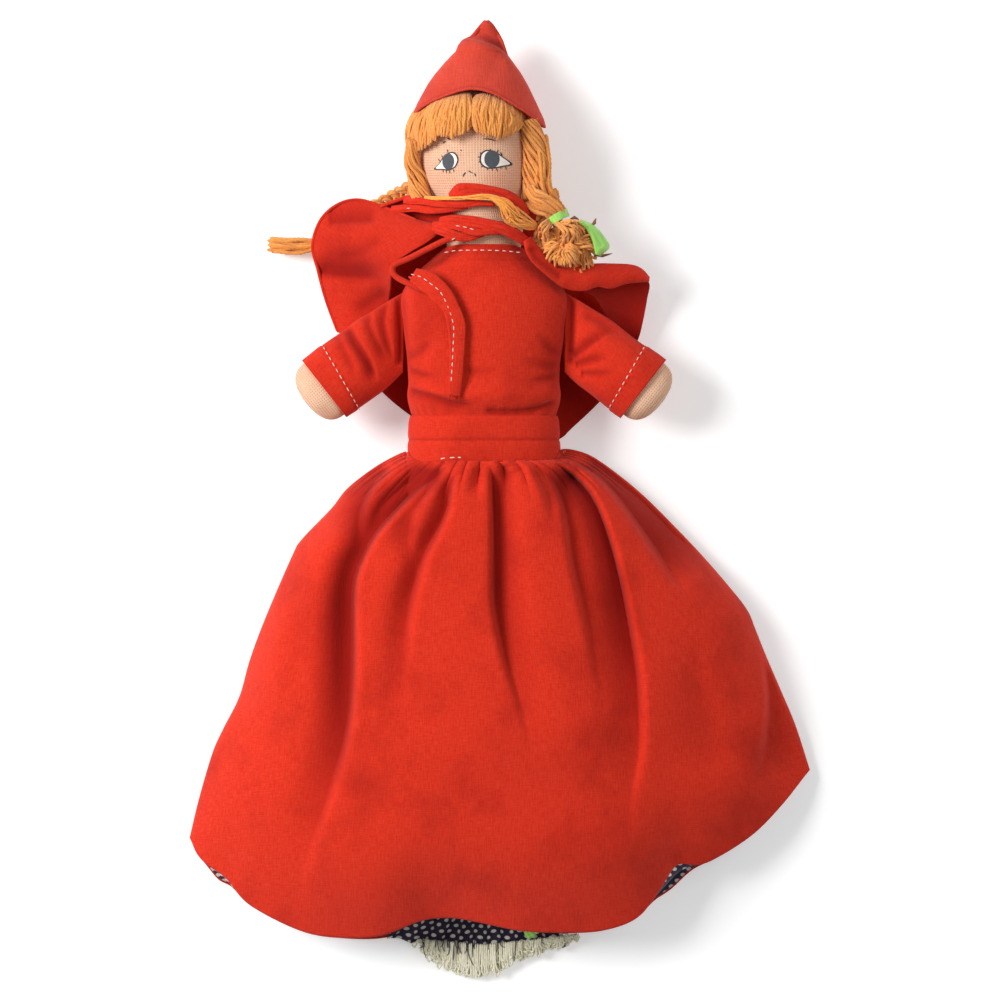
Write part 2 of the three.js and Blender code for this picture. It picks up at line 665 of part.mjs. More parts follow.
// Bindings round the neck: strips that follow the neck and chin, between two shares of a half turn
function binding(name, turnShares, foot, end, clear) {
  const size = run(redHead);
  const rings = steps(14).map((t) => {
    const a = blendOf(turnShares[0], turnShares[1], t) * Math.PI;
    const y = neckBaseHeight + blendOf(foot, end, t);
    const corner = (edge, out) => {
      const [w, d, x, z] = size(y + edge);
      const grow = clear + out;
      return at(x + (w + grow) * Math.sin(a), y + edge, z + (d + grow) * Math.cos(a));
    };
    return [
      corner(-bindingHalf, 0), corner(bindingHalf, 0),
      corner(bindingHalf, bindingDepth), corner(-bindingHalf, bindingDepth),
    ];
  });
  add(name, loft(rings), red);
}
binding('cape_binding_upper', upperTurnShares, upperBindingUp, upperBindingEnd, gap);
binding('cape_binding_lower', lowerTurnShares, lowerBindingUp, lowerBindingEnd, gap * 2);

// Tie end that hangs from the cape's neck over the bodice
const overBodice = gap + cloth;
const chestArch = (x) => Math.sqrt(1 - (x / (chestHalfWidth + overBodice)) ** 2);
const chestTop = (x) => bodyZ + (chestHalfDepth + overBodice) * chestArch(x);
const tieShares = [[-0.62, 0.8], [-0.5, 0.6], [-0.46, 0.3], [-0.36, 0]];
const tiePath = tieShares.map(([across, up]) => {
  const x = across * chestHalfWidth;
  return at(x, shoulderHeight - tieLength * (0.8 - up), chestTop(x) + tieDepth + gap);
});
const bodiceEnds = [waistbandHeight, neckBaseHeight];
const nearBodice = loft(ovalRings(halfTorso, 7, formSides, gap + overBodice, bodiceEnds));
add('cape_tie_end', cutBy(loft(bunch(tiePath, () => [tieWidth / 2, tieDepth], 8, 8)), nearBodice), red);

// Hidden doll's fringe under the cap, its cap, the ribbon at the gather and the frill beyond it
const hiddenHeadZ = bodyZ + hiddenHeadRise;
const crownRows = [
  [crownStart, crownHalfWidth * 0.93, crownHalfDepth * 0.98, 0, hiddenHeadZ],
  [blendOf(crownStart, crownEnd, 0.3), crownHalfWidth, crownHalfDepth, 0, hiddenHeadZ],
  [blendOf(crownStart, crownEnd, 0.7), crownHalfWidth * 0.9, crownHalfDepth * 0.86, 0, hiddenHeadZ * 0.86],
  [blendOf(crownStart, crownEnd, 0.9), crownHalfWidth * 0.62, crownHalfDepth * 0.52, 0, hiddenHeadZ * 0.6],
  [crownEnd, gatherHalfWidth, gatherHalfDepth, frillShift * 0.3, gatherHalfDepth + frillFloor + gap],
];
const crownSolid = (grow) => loft(hiddenEnd(ovalRings(crownRows, 8, formSides, grow)));
const underCrown = loft(hiddenEnd(hairRings(hiddenHead, gap)));
add('hidden_cap_crown', cutBy(crownSolid(0), underCrown), navy);
function hiddenFringe(name, side) {
  const y = -(crownStart - fringeHalf * 0.4);
  const path = [
    at(side * gap * 2, y, hiddenHeadZ + headHalfDepth),
    at(side * headHalfWidth * 0.5, y, hiddenHeadZ + headHalfDepth * 0.8),
    at(side * headHalfWidth * 0.92, y, hiddenHeadZ + headHalfDepth * 0.5),
  ];
  const size = (t) => [fringeHalf * 0.8 * roundEnds(t, 3), fringeDepth * 0.62 * roundEnds(t, 3)];
  const rings = bunch(path, size, 8, 10);
  add(name, cutBy(loft(rings), nearHiddenHead, crownSolid(gap)), yarn);
}
hiddenFringe('hidden_fringe_left', -1);
hiddenFringe('hidden_fringe_right', 1);

// A fan of gathered cloth beyond the crown, and the lace along its edge
function frill(from, to, startHalf, endHalf, floor, depth) {
  return (u, v, upper) => {
    const side = 2 * u - 1;
    const x = frillShift * blendOf(0.3, 1, v) + side * blendOf(startHalf, endHalf, v);
    const y = -blendOf(from, to, v) + frillDepth * v * Math.abs(side) ** 2;
    const wave = depth * (0.5 + 0.5 * Math.cos(side * frillWaves * Math.PI));
    return at(x, y, floor + wave + (upper ? cloth : 0));
  };
}
const frillStart = crownEnd + ribbonDepth * 2 + gap * 2;
const frillSheet = frill(frillStart, frillEnd, gatherHalfWidth, frillHalf, frillFloor, frillDepth);
add('hidden_cap_frill', sheet(20, 2, frillSheet), navy);
const laceSheet = frill(frillEnd + gap, frillEnd + laceWidth, laceHalf, laceHalf, frillFloor, frillDepth);
add('hidden_cap_lace', sheet(20, 1, laceSheet), lace);
const gatherSize = [gatherHalfWidth, gatherHalfDepth, frillShift * 0.3, gatherHalfDepth + frillFloor];
const gatherRows = [[crownEnd + gap, ...gatherSize], [crownEnd + gap + ribbonDepth * 2, ...gatherSize]];
add('hidden_cap_ribbon', loft(hiddenEnd(ovalRings(gatherRows, 2, formSides))), green, 0.45);

export default doll;
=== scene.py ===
# A topsy turvy doll lying on its back: the cloth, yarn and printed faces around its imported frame.
import functools
import math

import bpy
import numpy as np
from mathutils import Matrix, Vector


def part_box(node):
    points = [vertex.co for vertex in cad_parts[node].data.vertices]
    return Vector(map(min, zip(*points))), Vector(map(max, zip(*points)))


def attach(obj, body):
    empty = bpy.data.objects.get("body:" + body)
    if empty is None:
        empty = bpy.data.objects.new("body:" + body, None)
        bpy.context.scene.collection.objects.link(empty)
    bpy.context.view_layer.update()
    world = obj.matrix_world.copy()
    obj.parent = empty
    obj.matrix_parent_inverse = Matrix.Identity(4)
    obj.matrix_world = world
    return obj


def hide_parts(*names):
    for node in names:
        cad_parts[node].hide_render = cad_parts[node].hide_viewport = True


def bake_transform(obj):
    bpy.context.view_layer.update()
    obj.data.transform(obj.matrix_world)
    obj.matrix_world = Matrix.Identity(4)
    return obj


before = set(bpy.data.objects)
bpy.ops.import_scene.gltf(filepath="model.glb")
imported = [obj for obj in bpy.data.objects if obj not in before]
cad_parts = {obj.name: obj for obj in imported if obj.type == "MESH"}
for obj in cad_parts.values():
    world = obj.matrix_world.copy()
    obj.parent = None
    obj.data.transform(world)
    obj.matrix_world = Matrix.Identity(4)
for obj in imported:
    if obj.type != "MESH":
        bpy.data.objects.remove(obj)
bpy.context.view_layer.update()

# Shapes are worked out in millimetres from the waist seam, which is the middle of the torso
MM = 0.001
torso_low, torso_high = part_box("double_ended_torso")
WAIST = np.array([(torso_low.x + torso_high.x) / 2, (torso_low.y + torso_high.y) / 2, 0.0])
BODY_Z = (torso_low.z + torso_high.z) / 2 / MM
RED, HIDDEN = 1, -1

# Sizes that the pieces share
CLOTH = 0.5
RIBBON = 0.35
NECK_BASE = 76.0
HEAD_FOOT, HEAD_TOP = 76.3, 137.3
HEAD_LEAN = 4.0
SHOULDER = np.array([32.3, 45.9])
SLEEVE_LENGTH = 34.0
STITCH_PITCH, STITCH_LENGTH = 2.7, 1.6
YARN_HALF, YARN_TIP = 0.62, 0.3
CAMERA = np.array([6.0, -16.2, 1044.0])
PHOTO_REACH = 1027.8


# Materials

def linear(hex_value):
    """Linear colour of an sRGB hex value."""
    parts = [int(hex_value[i:i + 2], 16) / 255 for i in (1, 3, 5)]
    return tuple(c / 12.92 if c <= 0.04045 else ((c + 0.055) / 1.055) ** 2.4 for c in parts) + (1.0,)


def add(tree, kind, inputs=(), out=0, **settings):
    """Adds a node with its settings, and its inputs as values or links. Gives one of its outputs."""
    made = tree.nodes.new("ShaderNode" + kind)
    for key, value in settings.items():
        setattr(made, key, value)
    for key, value in inputs.items() if isinstance(inputs, dict) else enumerate(inputs):
        if isinstance(value, bpy.types.NodeSocket):
            tree.links.new(value, made.inputs[key])
        else:
            made.inputs[key].default_value = value
    return made.outputs[out] if made.outputs else None


def surface(name, tint_of, height_of, depth_mm, **finish):
    """A material whose colour and height are functions of its nodes and its flat place in millimetres."""
    material = bpy.data.materials.new(name)
    material.use_nodes = True
    material.node_tree.nodes.clear()
    node = functools.partial(add, material.node_tree)
    flat = node("Attribute", out="Vector", attribute_name="flat_mm")
    base = tint_of(node, flat)
    bump = node("Bump", {"Strength": 1.0, "Distance": depth_mm * MM, "Height": height_of(node, flat)})
    node("OutputMaterial", [node("BsdfPrincipled", {"Base Color": base, "Normal": bump, **finish})])
    return material


def feel(rough, sheen, sheen_rough=0.5, shine=0.5):
    """How matt a cloth is, how much its fuzz catches the light, and how much it shines."""
    return {"Roughness": rough, "Sheen Weight": sheen, "Sheen Roughness": sheen_rough,
            "Specular IOR Level": shine}


def grain(node, where, per_mm, detail=2.0, rough=0.5):
    """Noise whose size is given for each direction, in repeats per millimetre."""
    scaled = node("Mapping", {0: where, "Scale": per_mm})
    return node("TexNoise", {"Vector": scaled, "Scale": 1.0, "Detail": detail, "Roughness": rough})


def patches(node, where, per_mm, limits, detail=2.0, rough=0.5):
    """Grain that is stretched so that it runs from none to full between its limits."""
    return node("MapRange", [grain(node, where, per_mm, detail, rough), *limits])


def shaded(node, share, base, other):
    """A colour that turns to another by a share."""
    other = linear(other) if isinstance(other, str) else other
    base = linear(base) if isinstance(base, str) else base
    return node("Mix", {0: share, 6: base, 7: other}, 2, data_type="RGBA")


# Painted shade: the colour turns to the deep colour by each point's fold value, set where folds, creases and
# shaded parts lie
def with_painted_shade(node, base, deep):
    return shaded(node, node("Attribute", out="Fac", attribute_name="fold"), base, deep)


def thread_waves(node, where, pitch):
    """Rise and fall of the threads that run each way through a cloth, from -1 to 1."""
    turns = [node("Math", [node("SeparateXYZ", [where], axis), math.tau / pitch], operation="MULTIPLY")
             for axis in (0, 1)]
    return [node("Math", [turn], operation="SINE") for turn in turns]


def weave(node, where, pitch):
    """Height of a plain weave, from 0 to 1: threads cross over and under each other."""
    return node("MapRange", [node("Math", thread_waves(node, where, pitch), operation="MULTIPLY"), -1, 1])


# Plain-woven cotton: threads are 0.3 mm apart, drawn at 0.55 mm so that they show, with uneven slubs
# along both
def cotton(name, bright, body, deep):
    def colours(node, flat):
        slubs = [grain(node, flat, size, 3) for size in ((2.6, 0.3, 1), (0.3, 2.6, 1))]
        threads = node("MapRange", [node("Math", slubs, operation="ADD"), 0.68, 1.32])
        cloudy = patches(node, flat, (0.035, 0.03, 1), (0.48, 0.68, 0.0, 0.4), 4, 0.55)
        speck = patches(node, flat, (1.3, 1.3, 1), (0.56, 0.75, 0.0, 0.35), 2, 0.7)
        base = shaded(node, node("Math", [threads, 0.6], operation="MULTIPLY"), body, bright)
        base = shaded(node, cloudy, shaded(node, speck, base, deep), deep)
        # Painted shade: darker towards the deep colour in folds and shaded parts
        return with_painted_shade(node, base, deep)

    def heights(node, flat):
        fine = node("Math", [weave(node, flat, 0.55), 0.5], operation="MULTIPLY")
        return node("Math", [fine, grain(node, flat, (1.6, 0.2, 1))], operation="ADD")

    return surface(name, colours, heights, 0.16, **feel(0.92, 0.06, 0.5, 0.12))


# Printed cotton lawn: off-white oval dots in staggered rows 4.3 mm apart on navy
def pin_dots(name):
    pitch, half_wide, half_high = 4.3, 0.95, 0.68

    def dots(node, flat, shift):
        """Distance from the nearest dot of every second row, in halves of a dot."""
        cell = node("VectorMath", [flat, (1 / pitch,) * 3, (shift, shift, 0)], operation="MULTIPLY_ADD")
        part = node("VectorMath", [cell], operation="FRACTION")
        from_middle = [part, (pitch / half_wide, pitch / half_high, 0),
                       (-pitch / half_wide / 2, -pitch / half_high / 2, 0)]
        place = node("VectorMath", from_middle, operation="MULTIPLY_ADD")
        return node("VectorMath", [place], "Value", operation="LENGTH")

    def colours(node, flat):
        jitter = node("Math", [grain(node, flat, (0.5, 0.5, 1), 1), 0.5], operation="MULTIPLY")
        near = node("Math", [dots(node, flat, shift) for shift in (0.0, 0.5)], operation="MINIMUM")
        distance = node("Math", [near, jitter], operation="ADD")
        navy = shaded(node, patches(node, flat, (1.6, 0.3, 1), (0.4, 0.7), 3), "#231a33", "#33293f")
        cream = shaded(node, grain(node, flat, (2, 2, 1)), "#ddd5c8", "#f4eee4")
        # Painted shade: a deeper navy where the piece's fold value is set
        return with_painted_shade(node, shaded(node, node("MapRange", [distance, 1.1, 1.4]), cream, navy), "#120c1c")

    def heights(node, flat):
        return weave(node, flat, 0.5)

    return surface(name, colours, heights, 0.08, **feel(0.8, 0.15, 0.5, 0.25))


# Coarse muslin: open threads 0.78 mm apart, drawn at 0.95 mm so that the dark gaps show in soft patches,
# with a blush on the cheeks
def muslin(name):
    def gaps(node, flat):
        lows = [node("MapRange", [wave, -1, 1]) for wave in thread_waves(node, flat, 0.95)]
        return node("Math", lows, operation="MULTIPLY")

    def colours(node, flat):
        base = shaded(node, grain(node, flat, (0.08, 0.08, 1), 3), "#dfaa89", "#eec6a8")
        dark = node("MapRange", [gaps(node, flat), 0.3, 0.8, 0.0, 0.75])
        patch = patches(node, flat, (0.07, 0.07, 1), (0.38, 0.62, 0.15, 1.0))
        base = shaded(node, node("Math", [dark, patch], operation="MULTIPLY"), base, "#b07a5c")
        base = shaded(node, patches(node, flat, (0.9, 0.9, 1), (0.5, 0.8, 0.0, 0.3)), base, "#b98064")
        blush = [node("Attribute", out="Fac", attribute_name="blush"), 0.32]
        return shaded(node, node("Math", blush, operation="MULTIPLY"), base, "#d8694f")

    def heights(node, flat):
        return node("Math", [1.0, gaps(node, flat)], operation="SUBTRACT")

    return surface(name, colours, heights, 0.16, **feel(0.9, 0.1, 0.5, 0.2))


# Two-ply yarn: each strand has its own tone, it is darker in random patches, and painted shade darkens it
# where a piece is given some
def yarn(name, light, body, deep):
    def colours(node, flat):
        base = shaded(node, node("Attribute", out="Fac", attribute_name="strand"), body, light)
        base = shaded(node, patches(node, flat, (2.2, 0.45, 1), (0.45, 0.8, 0.0, 0.5), 3), base, deep)
        return with_painted_shade(node, base, deep)

    def heights(node, flat):
        return grain(node, flat, (3.0, 0.7, 1))

    return surface(name, colours, heights, 0.25, **feel(0.85, 0.3, 0.6, 0.2))


# Acetate satin: smooth, with fine ribs across the ribbon; its colour turns to the light colour in random
# narrow bands across it, which is painted highlight
def satin(name, light, body):
    def colours(node, flat):
        return shaded(node, patches(node, flat, (0.2, 3.0, 1), (0.3, 0.7)), body, light)

    def heights(node, flat):
        return grain(node, flat, (0.1, 3.5, 1), 1)

    return surface(name, colours, heights, 0.05, **feel(0.38, 0.2))


# Thread, lace and fabric paint: one colour that varies a little along the thread or over the weave
def plain(name, body, deep, per_mm=1.2, depth=0.05):
    def colours(node, flat):
        return shaded(node, patches(node, flat, (per_mm, per_mm, 1), (0.35, 0.75), 3), body, deep)

    def heights(node, flat):
        return weave(node, flat, 1.15)

    return surface(name, colours, heights, depth, Roughness=0.8)


# The deep colour of each cotton and yarn is also the colour of its painted shade, and the light colour of the
# satin is a painted highlight
RED_COTTON = cotton("woven_red_cotton", "#e5452b", "#cb220f", "#8a0d08")
FADED_COTTON = cotton("faded_red_cotton", "#dc5540", "#c83a2a", "#8f1d16")
DOTS = pin_dots("pin_dot_lawn")
MUSLIN = muslin("coarse_muslin")
ORANGE_YARN = yarn("orange_wool_yarn", "#f3a850", "#e58c36", "#b3581c")
LOOSE_YARN = yarn("loose_yellow_yarn", "#ffae42", "#f18f26", "#c9661b")
GREEN_SATIN = satin("green_satin", "#aee572", "#7cc63c")
BROWN_TAPE = plain("brown_ribbon_core", "#8d5f3c", "#5f3c24", 1.5)
LACE = plain("cream_cotton_lace", "#f2eed8", "#d8d2b0", 0.8)
STITCHES = plain("white_sewing_thread", "#efe6dc", "#dcb4a4", 0.6)
NAVY_THREAD = plain("navy_thread", "#2a2038", "#17101f")
INK = plain("black_fabric_paint", "#1d1a1c", "#2c2526", 1.2, 0.02)
IRIS = plain("grey_fabric_paint", "#484d52", "#3d4247", 1.2, 0.02)
EYE_WHITE = plain("white_fabric_paint", "#f3ece6", "#e6d8cc", 1.2, 0.02)

# Each doll's names start with a word, and its dress is cut from one cloth, which has its own slot
DRESS = {RED: ("red", RED_COTTON, "red_cotton"), HIDDEN: ("hidden", DOTS, "pin_dot_cotton")}


# Lines

def unit(vectors, least=1e-9):
    return vectors / np.maximum(np.linalg.norm(vectors, axis=-1, keepdims=True), least)


def directions(line):
    """The way ahead at each point of a line."""
    return unit(np.gradient(line, axis=0))


def level_sides(ahead):
    """Level directions across a line, and those that rise from it."""
    across = unit(np.cross(ahead, [0.0, 0.0, 1.0]), 1e-6)
    return across, np.cross(across, ahead)


def run_of(line):
    """The run along a line at each of its points."""
    return np.concatenate([[0], np.cumsum(np.linalg.norm(np.diff(line, axis=0), axis=1))])


def at_run(line, places):
    """Points of a line at places along its run."""
    run = run_of(line)
    return np.column_stack([np.interp(places, run, column) for column in line.T])


def curve_part(before, start, end, after, count):
    """Smooth places from one point towards the next, led by the points on both sides."""
    t = np.linspace(0, 1, count, endpoint=False)[:, None]
    return 0.5 * (2 * start + (end - before) * t + (2 * before - 5 * start + 4 * end - after) * t**2
                  + (3 * start - before - 3 * end + after) * t**3)


def route(points, step=0.8):
    """A smooth line through points, with a place every step."""
    points = np.asarray(points, float)
    ends = np.vstack([2 * points[0] - points[1], points, 2 * points[-1] - points[-2]])
    counts = [max(2, int(np.linalg.norm(b - a) / step)) for a, b in zip(points, points[1:])]
    parts = [curve_part(*ends[i:i + 4], count) for i, count in enumerate(counts)]
    return np.vstack(parts + [points[-1:]])


def closed_curve(points, count=4):
    """A smooth closed outline through points."""
    points = np.asarray(points, float)
    fours = [points[np.arange(i - 1, i + 3) % len(points)] for i in range(len(points))]
    return np.vstack([curve_part(*four, count) for four in fours])


def resampled(points, count):
    line = route(points, 0.4)
    return at_run(line, np.linspace(0, run_of(line)[-1], count))


def along(points, share):
    """The place at a share of the length of a line."""
    line = route(points, 0.5)
    return at_run(line, [share * run_of(line)[-1]])[0]


def wavy(line, amount, seed):
    """A line with a slight random wander, still at its ends."""
    random = np.random.default_rng(seed)
    line = np.asarray(line, float)
    t = np.linspace(0, 1, len(line))
    for _ in range(3):
        wave = np.sin(t * random.uniform(4, 11) + random.uniform(0, 6)) * np.sin(t * math.pi)
        line = line + wave[:, None] * random.normal(0, amount, 3) * [1, 1, 0.5]
    return line


# Forms

def smoothstep(value, low=0.0, high=1.0):
    t = np.clip((np.asarray(value, float) - low) / (high - low), 0, 1)
    return t * t * (3 - 2 * t)


def swell(value, middle, width):
    """A smooth hill of height 1."""
    return np.exp(-((value - middle) / width) ** 2)


def rows_at(rows, places):
    """Smooth sizes between rows that are led by their place."""
    rows = np.asarray(rows, float)
    x, y = rows[:, 0], rows[:, 1:]
    slope = np.gradient(y, x, axis=0)
    places = np.clip(places, x[0], x[-1])
    i = np.clip(np.searchsorted(x, places, side="right") - 1, 0, len(x) - 2)
    wide = (x[i + 1] - x[i])[..., None]
    t = ((places - x[i])[..., None]) / wide
    return ((2 * t**3 - 3 * t**2 + 1) * y[i] + (t**3 - 2 * t**2 + t) * wide * slope[i]
            + (-2 * t**3 + 3 * t**2) * y[i + 1] + (t**3 - t**2) * wide * slope[i + 1])


def beside(x, y, line):
    """Signed distance of places from a line on the plan, positive to its left, and the share along it."""
    best = np.full(np.shape(x), 1e9)
    side = np.zeros(np.shape(x))
    share = np.zeros(np.shape(x))
    lengths = np.linalg.norm(np.diff(line, axis=0), axis=1)
    run = run_of(line)
    for i, ((ax, ay), (bx, by)) in enumerate(zip(line, line[1:])):
        dx, dy = bx - ax, by - ay
        t = np.clip(((x - ax) * dx + (y - ay) * dy) / (dx * dx + dy * dy), 0, 1)
        away = np.hypot(x - ax - t * dx, y - ay - t * dy)
        near = away < best
        best = np.where(near, away, best)
        side = np.where(near, np.sign(dx * (y - ay) - dy * (x - ax)), side)
        share = np.where(near, (run[i] + t * lengths[i]) / run[-1], share)
    return best * side, share


def crease(x, y, line, depth, left, right, fade=(0.12, 0.75), spread=0.0):
    """Depth of a valley along a line that runs down the plan: each of its two walls has its own width."""
    d, share = beside(x, y, route(line, 4.0))
    wider = 1 + spread * share**1.5
    wall = np.where(d > 0, np.exp(-(d / right / wider) ** 2), np.exp(-(d / left / wider) ** 2))
    return depth * wall * smoothstep(share, 0, fade[0] + 1e-6) * (1 - smoothstep(share, fade[1], 1.0))


def crumple(x, y, size, seed=0.0):
    """Soft uneven waves, from -1 to 1."""
    total = np.zeros(np.broadcast(x, y).shape)
    turns = [0.3, 1.4, 2.3, 2.9, 0.9]
    for k, turn in enumerate(turns):
        wave = (x * math.cos(turn + seed) + y * math.sin(turn + seed)) / (size * (0.7 + 0.23 * k))
        total = total + np.sin(wave * math.tau + seed * 7 + k * 1.7)
    return total / len(turns)


def turned(grid, doll):
    """The same points for the hidden doll, which lies the other way."""
    grid = np.array(grid, float)
    grid[..., 1] *= doll
    return grid


# Meshes

def seen_from_above(points):
    """Points read off the photo, moved to where the camera sees them there at their height."""
    points = np.array(points, float)
    scale = (CAMERA[2] - points[:, 2:]) / PHOTO_REACH
    points[:, :2] = CAMERA[:2] + (points[:, :2] - CAMERA[:2]) * scale
    return points


def piece(name, points, faces, material, flat, **values):
    """A mesh from points in millimetres, with the flat place and any other values of each point."""
    mesh = bpy.data.meshes.new(name)
    mesh.from_pydata((seen_from_above(points) * MM + WAIST).tolist(), [], faces)
    mesh.materials.append(material)
    mesh.shade_smooth()
    spread = np.asarray(flat, float)
    if spread.shape[1] == 2:
        spread = np.column_stack([spread, np.zeros(len(spread))])
    mesh.attributes.new("flat_mm", "FLOAT_VECTOR", "POINT").data.foreach_set("vector", spread.ravel())
    for key, value in values.items():
        full = np.broadcast_to(np.asarray(value, np.float32), len(points))
        mesh.attributes.new(key, "FLOAT", "POINT").data.foreach_set("value", np.ascontiguousarray(full))
    mesh.update()
    made = bpy.data.objects.new(name, mesh)
    bpy.context.scene.collection.objects.link(made)
    return made


def sew_on(made, node, body="doll"):
    """Says which node a piece stands for, if any, by hiding that part, and which body carries it."""
    if node:
        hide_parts(node)
    if body:
        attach(made, body)


def quads(rows, columns, wrap=False, start=0):
    """Faces of a grid of points; wrap joins its last row to its first."""
    i, j = np.meshgrid(np.arange(rows if wrap else rows - 1), np.arange(columns - 1), indexing="ij")
    k = (i + 1) % rows
    faces = np.stack([i * columns + j, k * columns + j, k * columns + j + 1, i * columns + j + 1], axis=-1)
    return (faces.reshape(-1, 4) + start).tolist()


def ring_faces(rings, around, start=0):
    """Faces between closed rings of points."""
    i, j = np.meshgrid(np.arange(rings - 1) * around + start, np.arange(around), indexing="ij")
    k = (j + 1) % around
    return np.stack([i + j, i + k, i + around + k, i + around + j], axis=-1).reshape(-1, 4).tolist()


def normals(grid, wrap=False):
    """Unit normals of a grid of points."""
    if wrap:
        across = np.roll(grid, -1, axis=0) - np.roll(grid, 1, axis=0)
    else:
        across = np.gradient(grid, axis=0)
    return unit(np.cross(across, np.gradient(grid, axis=1)))


def facing_out(points, faces):
    """The faces, turned if the body that they close is inside out."""
    f = np.array([face for face in faces if len(face) == 4])
    a, b, c, d = (points[f[:, k]] for k in range(4))
    volume = ((np.cross(b - a, c - a) + np.cross(c - a, d - a)) * (a - points.mean(0))).sum()
    return faces if volume > 0 else [face[::-1] for face in faces]


def sheet(name, grid, material, flat, thick=CLOTH, wrap=False, under=-1, fold=None):
    """A closed thin cloth: the grid is its face, and its back lies a thickness away on the given side."""
    rows, columns = grid.shape[:2]
    count = rows * columns
    back = grid + under * thick * normals(grid, wrap)
    points = np.concatenate([grid.reshape(-1, 3), back.reshape(-1, 3)])
    faces = quads(rows, columns, wrap)
    faces += [face[::-1] for face in quads(rows, columns, wrap, count)]
    for i in range(rows if wrap else rows - 1):
        k = (i + 1) % rows
        for j, turn in ((0, 1), (columns - 1, -1)):
            a, b = i * columns + j, k * columns + j
            faces.append([a, a + count, b + count, b][::turn])
    if not wrap:
        for j in range(columns - 1):
            for i, turn in ((0, -1), (rows - 1, 1)):
                a = i * columns + j
                faces.append([a, a + count, a + count + 1, a + 1][::turn])
    spread = np.concatenate([flat.reshape(-1, flat.shape[-1])] * 2)
    # fold is the painted shade of each point: the materials darken to their deep colour by it
    shade = 0.0 if fold is None else np.concatenate([fold.ravel()] * 2)
    return piece(name, points, facing_out(points, faces), material, spread, fold=shade)


def form(name, grid, material, flat, **values):
    """A closed stuffed form: rings of points along it, with a point at each end."""
    rings, around = grid.shape[:2]
    faces = ring_faces(rings, around)
    points = np.concatenate([grid.reshape(-1, 3), [grid[0].mean(0), grid[-1].mean(0)]])
    for j in range(around):
        k = (j + 1) % around
        faces.append([rings * around, k, j])
        faces.append([rings * around + 1, (rings - 1) * around + j, (rings - 1) * around + k])
    spread = np.concatenate([flat.reshape(-1, flat.shape[-1]), [flat[0].mean(0), flat[-1].mean(0)]])
    full = {key: np.concatenate([np.ravel(value), [0.0, 0.0]]) for key, value in values.items()}
    return piece(name, points, facing_out(points, faces), material, spread, **full)


def tube_rings(line, run, angles, half, ply, turn):
    """Rings of points round a line, swollen by two plies that twist round each other."""
    ahead = directions(line)
    side = np.zeros_like(ahead)
    side[0] = np.cross(ahead[0], [0.13, 0.21, 0.97])
    for i in range(1, len(line)):
        side[i] = side[i - 1] / np.linalg.norm(side[i - 1])
        side[i] -= ahead[i] * side[i].dot(ahead[i])
    side = unit(side)
    lift = np.cross(ahead, side)
    size = half * (1 + ply * np.cos(2 * (angles[None] - turn)))
    ends = np.clip(np.minimum(run, run[-1] - run) / max(half * 1.5, 1e-6), 0, 1)
    size = size * (YARN_TIP + (1 - YARN_TIP) * np.sqrt(ends))[:, None]
    return (line[:, None] + side[:, None] * (size * np.cos(angles))[..., None]
            + lift[:, None] * (size * np.sin(angles))[..., None])


def tubes(name, lines, half, material, sides=8, ply=0.16, pitch=3.2, seed=1):
    """Yarn or thread along lines: two plies twist round each other, and each end tapers to a point."""
    random = np.random.default_rng(seed)
    angles = np.arange(sides) * math.tau / sides
    points, faces, spread, strand = [], [], [], []
    base = 0
    for line in lines:
        line = np.asarray(line, float)
        run, count = run_of(line), len(line)
        turn = run[:, None] / pitch * math.tau + random.uniform(0, 6)
        points.append(tube_rings(line, run, angles, half, ply, turn).reshape(-1, 3))
        faces += ring_faces(count, sides, base)
        faces.append([base + j for j in range(sides)][::-1])
        faces.append([base + (count - 1) * sides + j for j in range(sides)])
        around = np.broadcast_to(angles * half, (count, sides))
        length = np.broadcast_to(run[:, None] + random.uniform(0, 300), (count, sides))
        spread.append(np.stack([around, length], -1).reshape(-1, 2))
        strand.append(np.full(count * sides, random.uniform(0, 1)))
        base += count * sides
    return piece(name, np.concatenate(points), faces, material, np.concatenate(spread),
                 strand=np.concatenate(strand), fold=0.0)


def strap(name, points, half, material, thick=CLOTH, tilt=(0.0, 0.0), cup=0.0, wrinkle=0.0, columns=15):
    """A strip of cloth along a line: its width lies across the line, turned by tilt from end to end."""
    line = route(points, 0.8)
    across, lift = level_sides(directions(line))
    run = run_of(line)
    turn = np.interp(run, np.linspace(0, run[-1], len(tilt)), tilt)[:, None]
    s = np.linspace(-1, 1, columns)[None]
    halves = np.interp(run, np.linspace(0, run[-1], np.size(half)), np.atleast_1d(half))[:, None]
    out = s * halves
    waves = np.sin(s * 5.5 + run[:, None] * 0.22) * np.cos(s * 2.3 - run[:, None] * 0.13)
    rise = cup * (1 - s**2) + wrinkle * waves
    sideways = out * np.cos(turn) - rise * np.sin(turn)
    upward = out * np.sin(turn) + rise * np.cos(turn)
    grid = line[:, None] + across[:, None] * sideways[..., None] + lift[:, None] * upward[..., None]
    flat = np.stack([out, np.broadcast_to(run[:, None], out.shape)], -1)
    return sheet(name, grid, material, flat, thick)


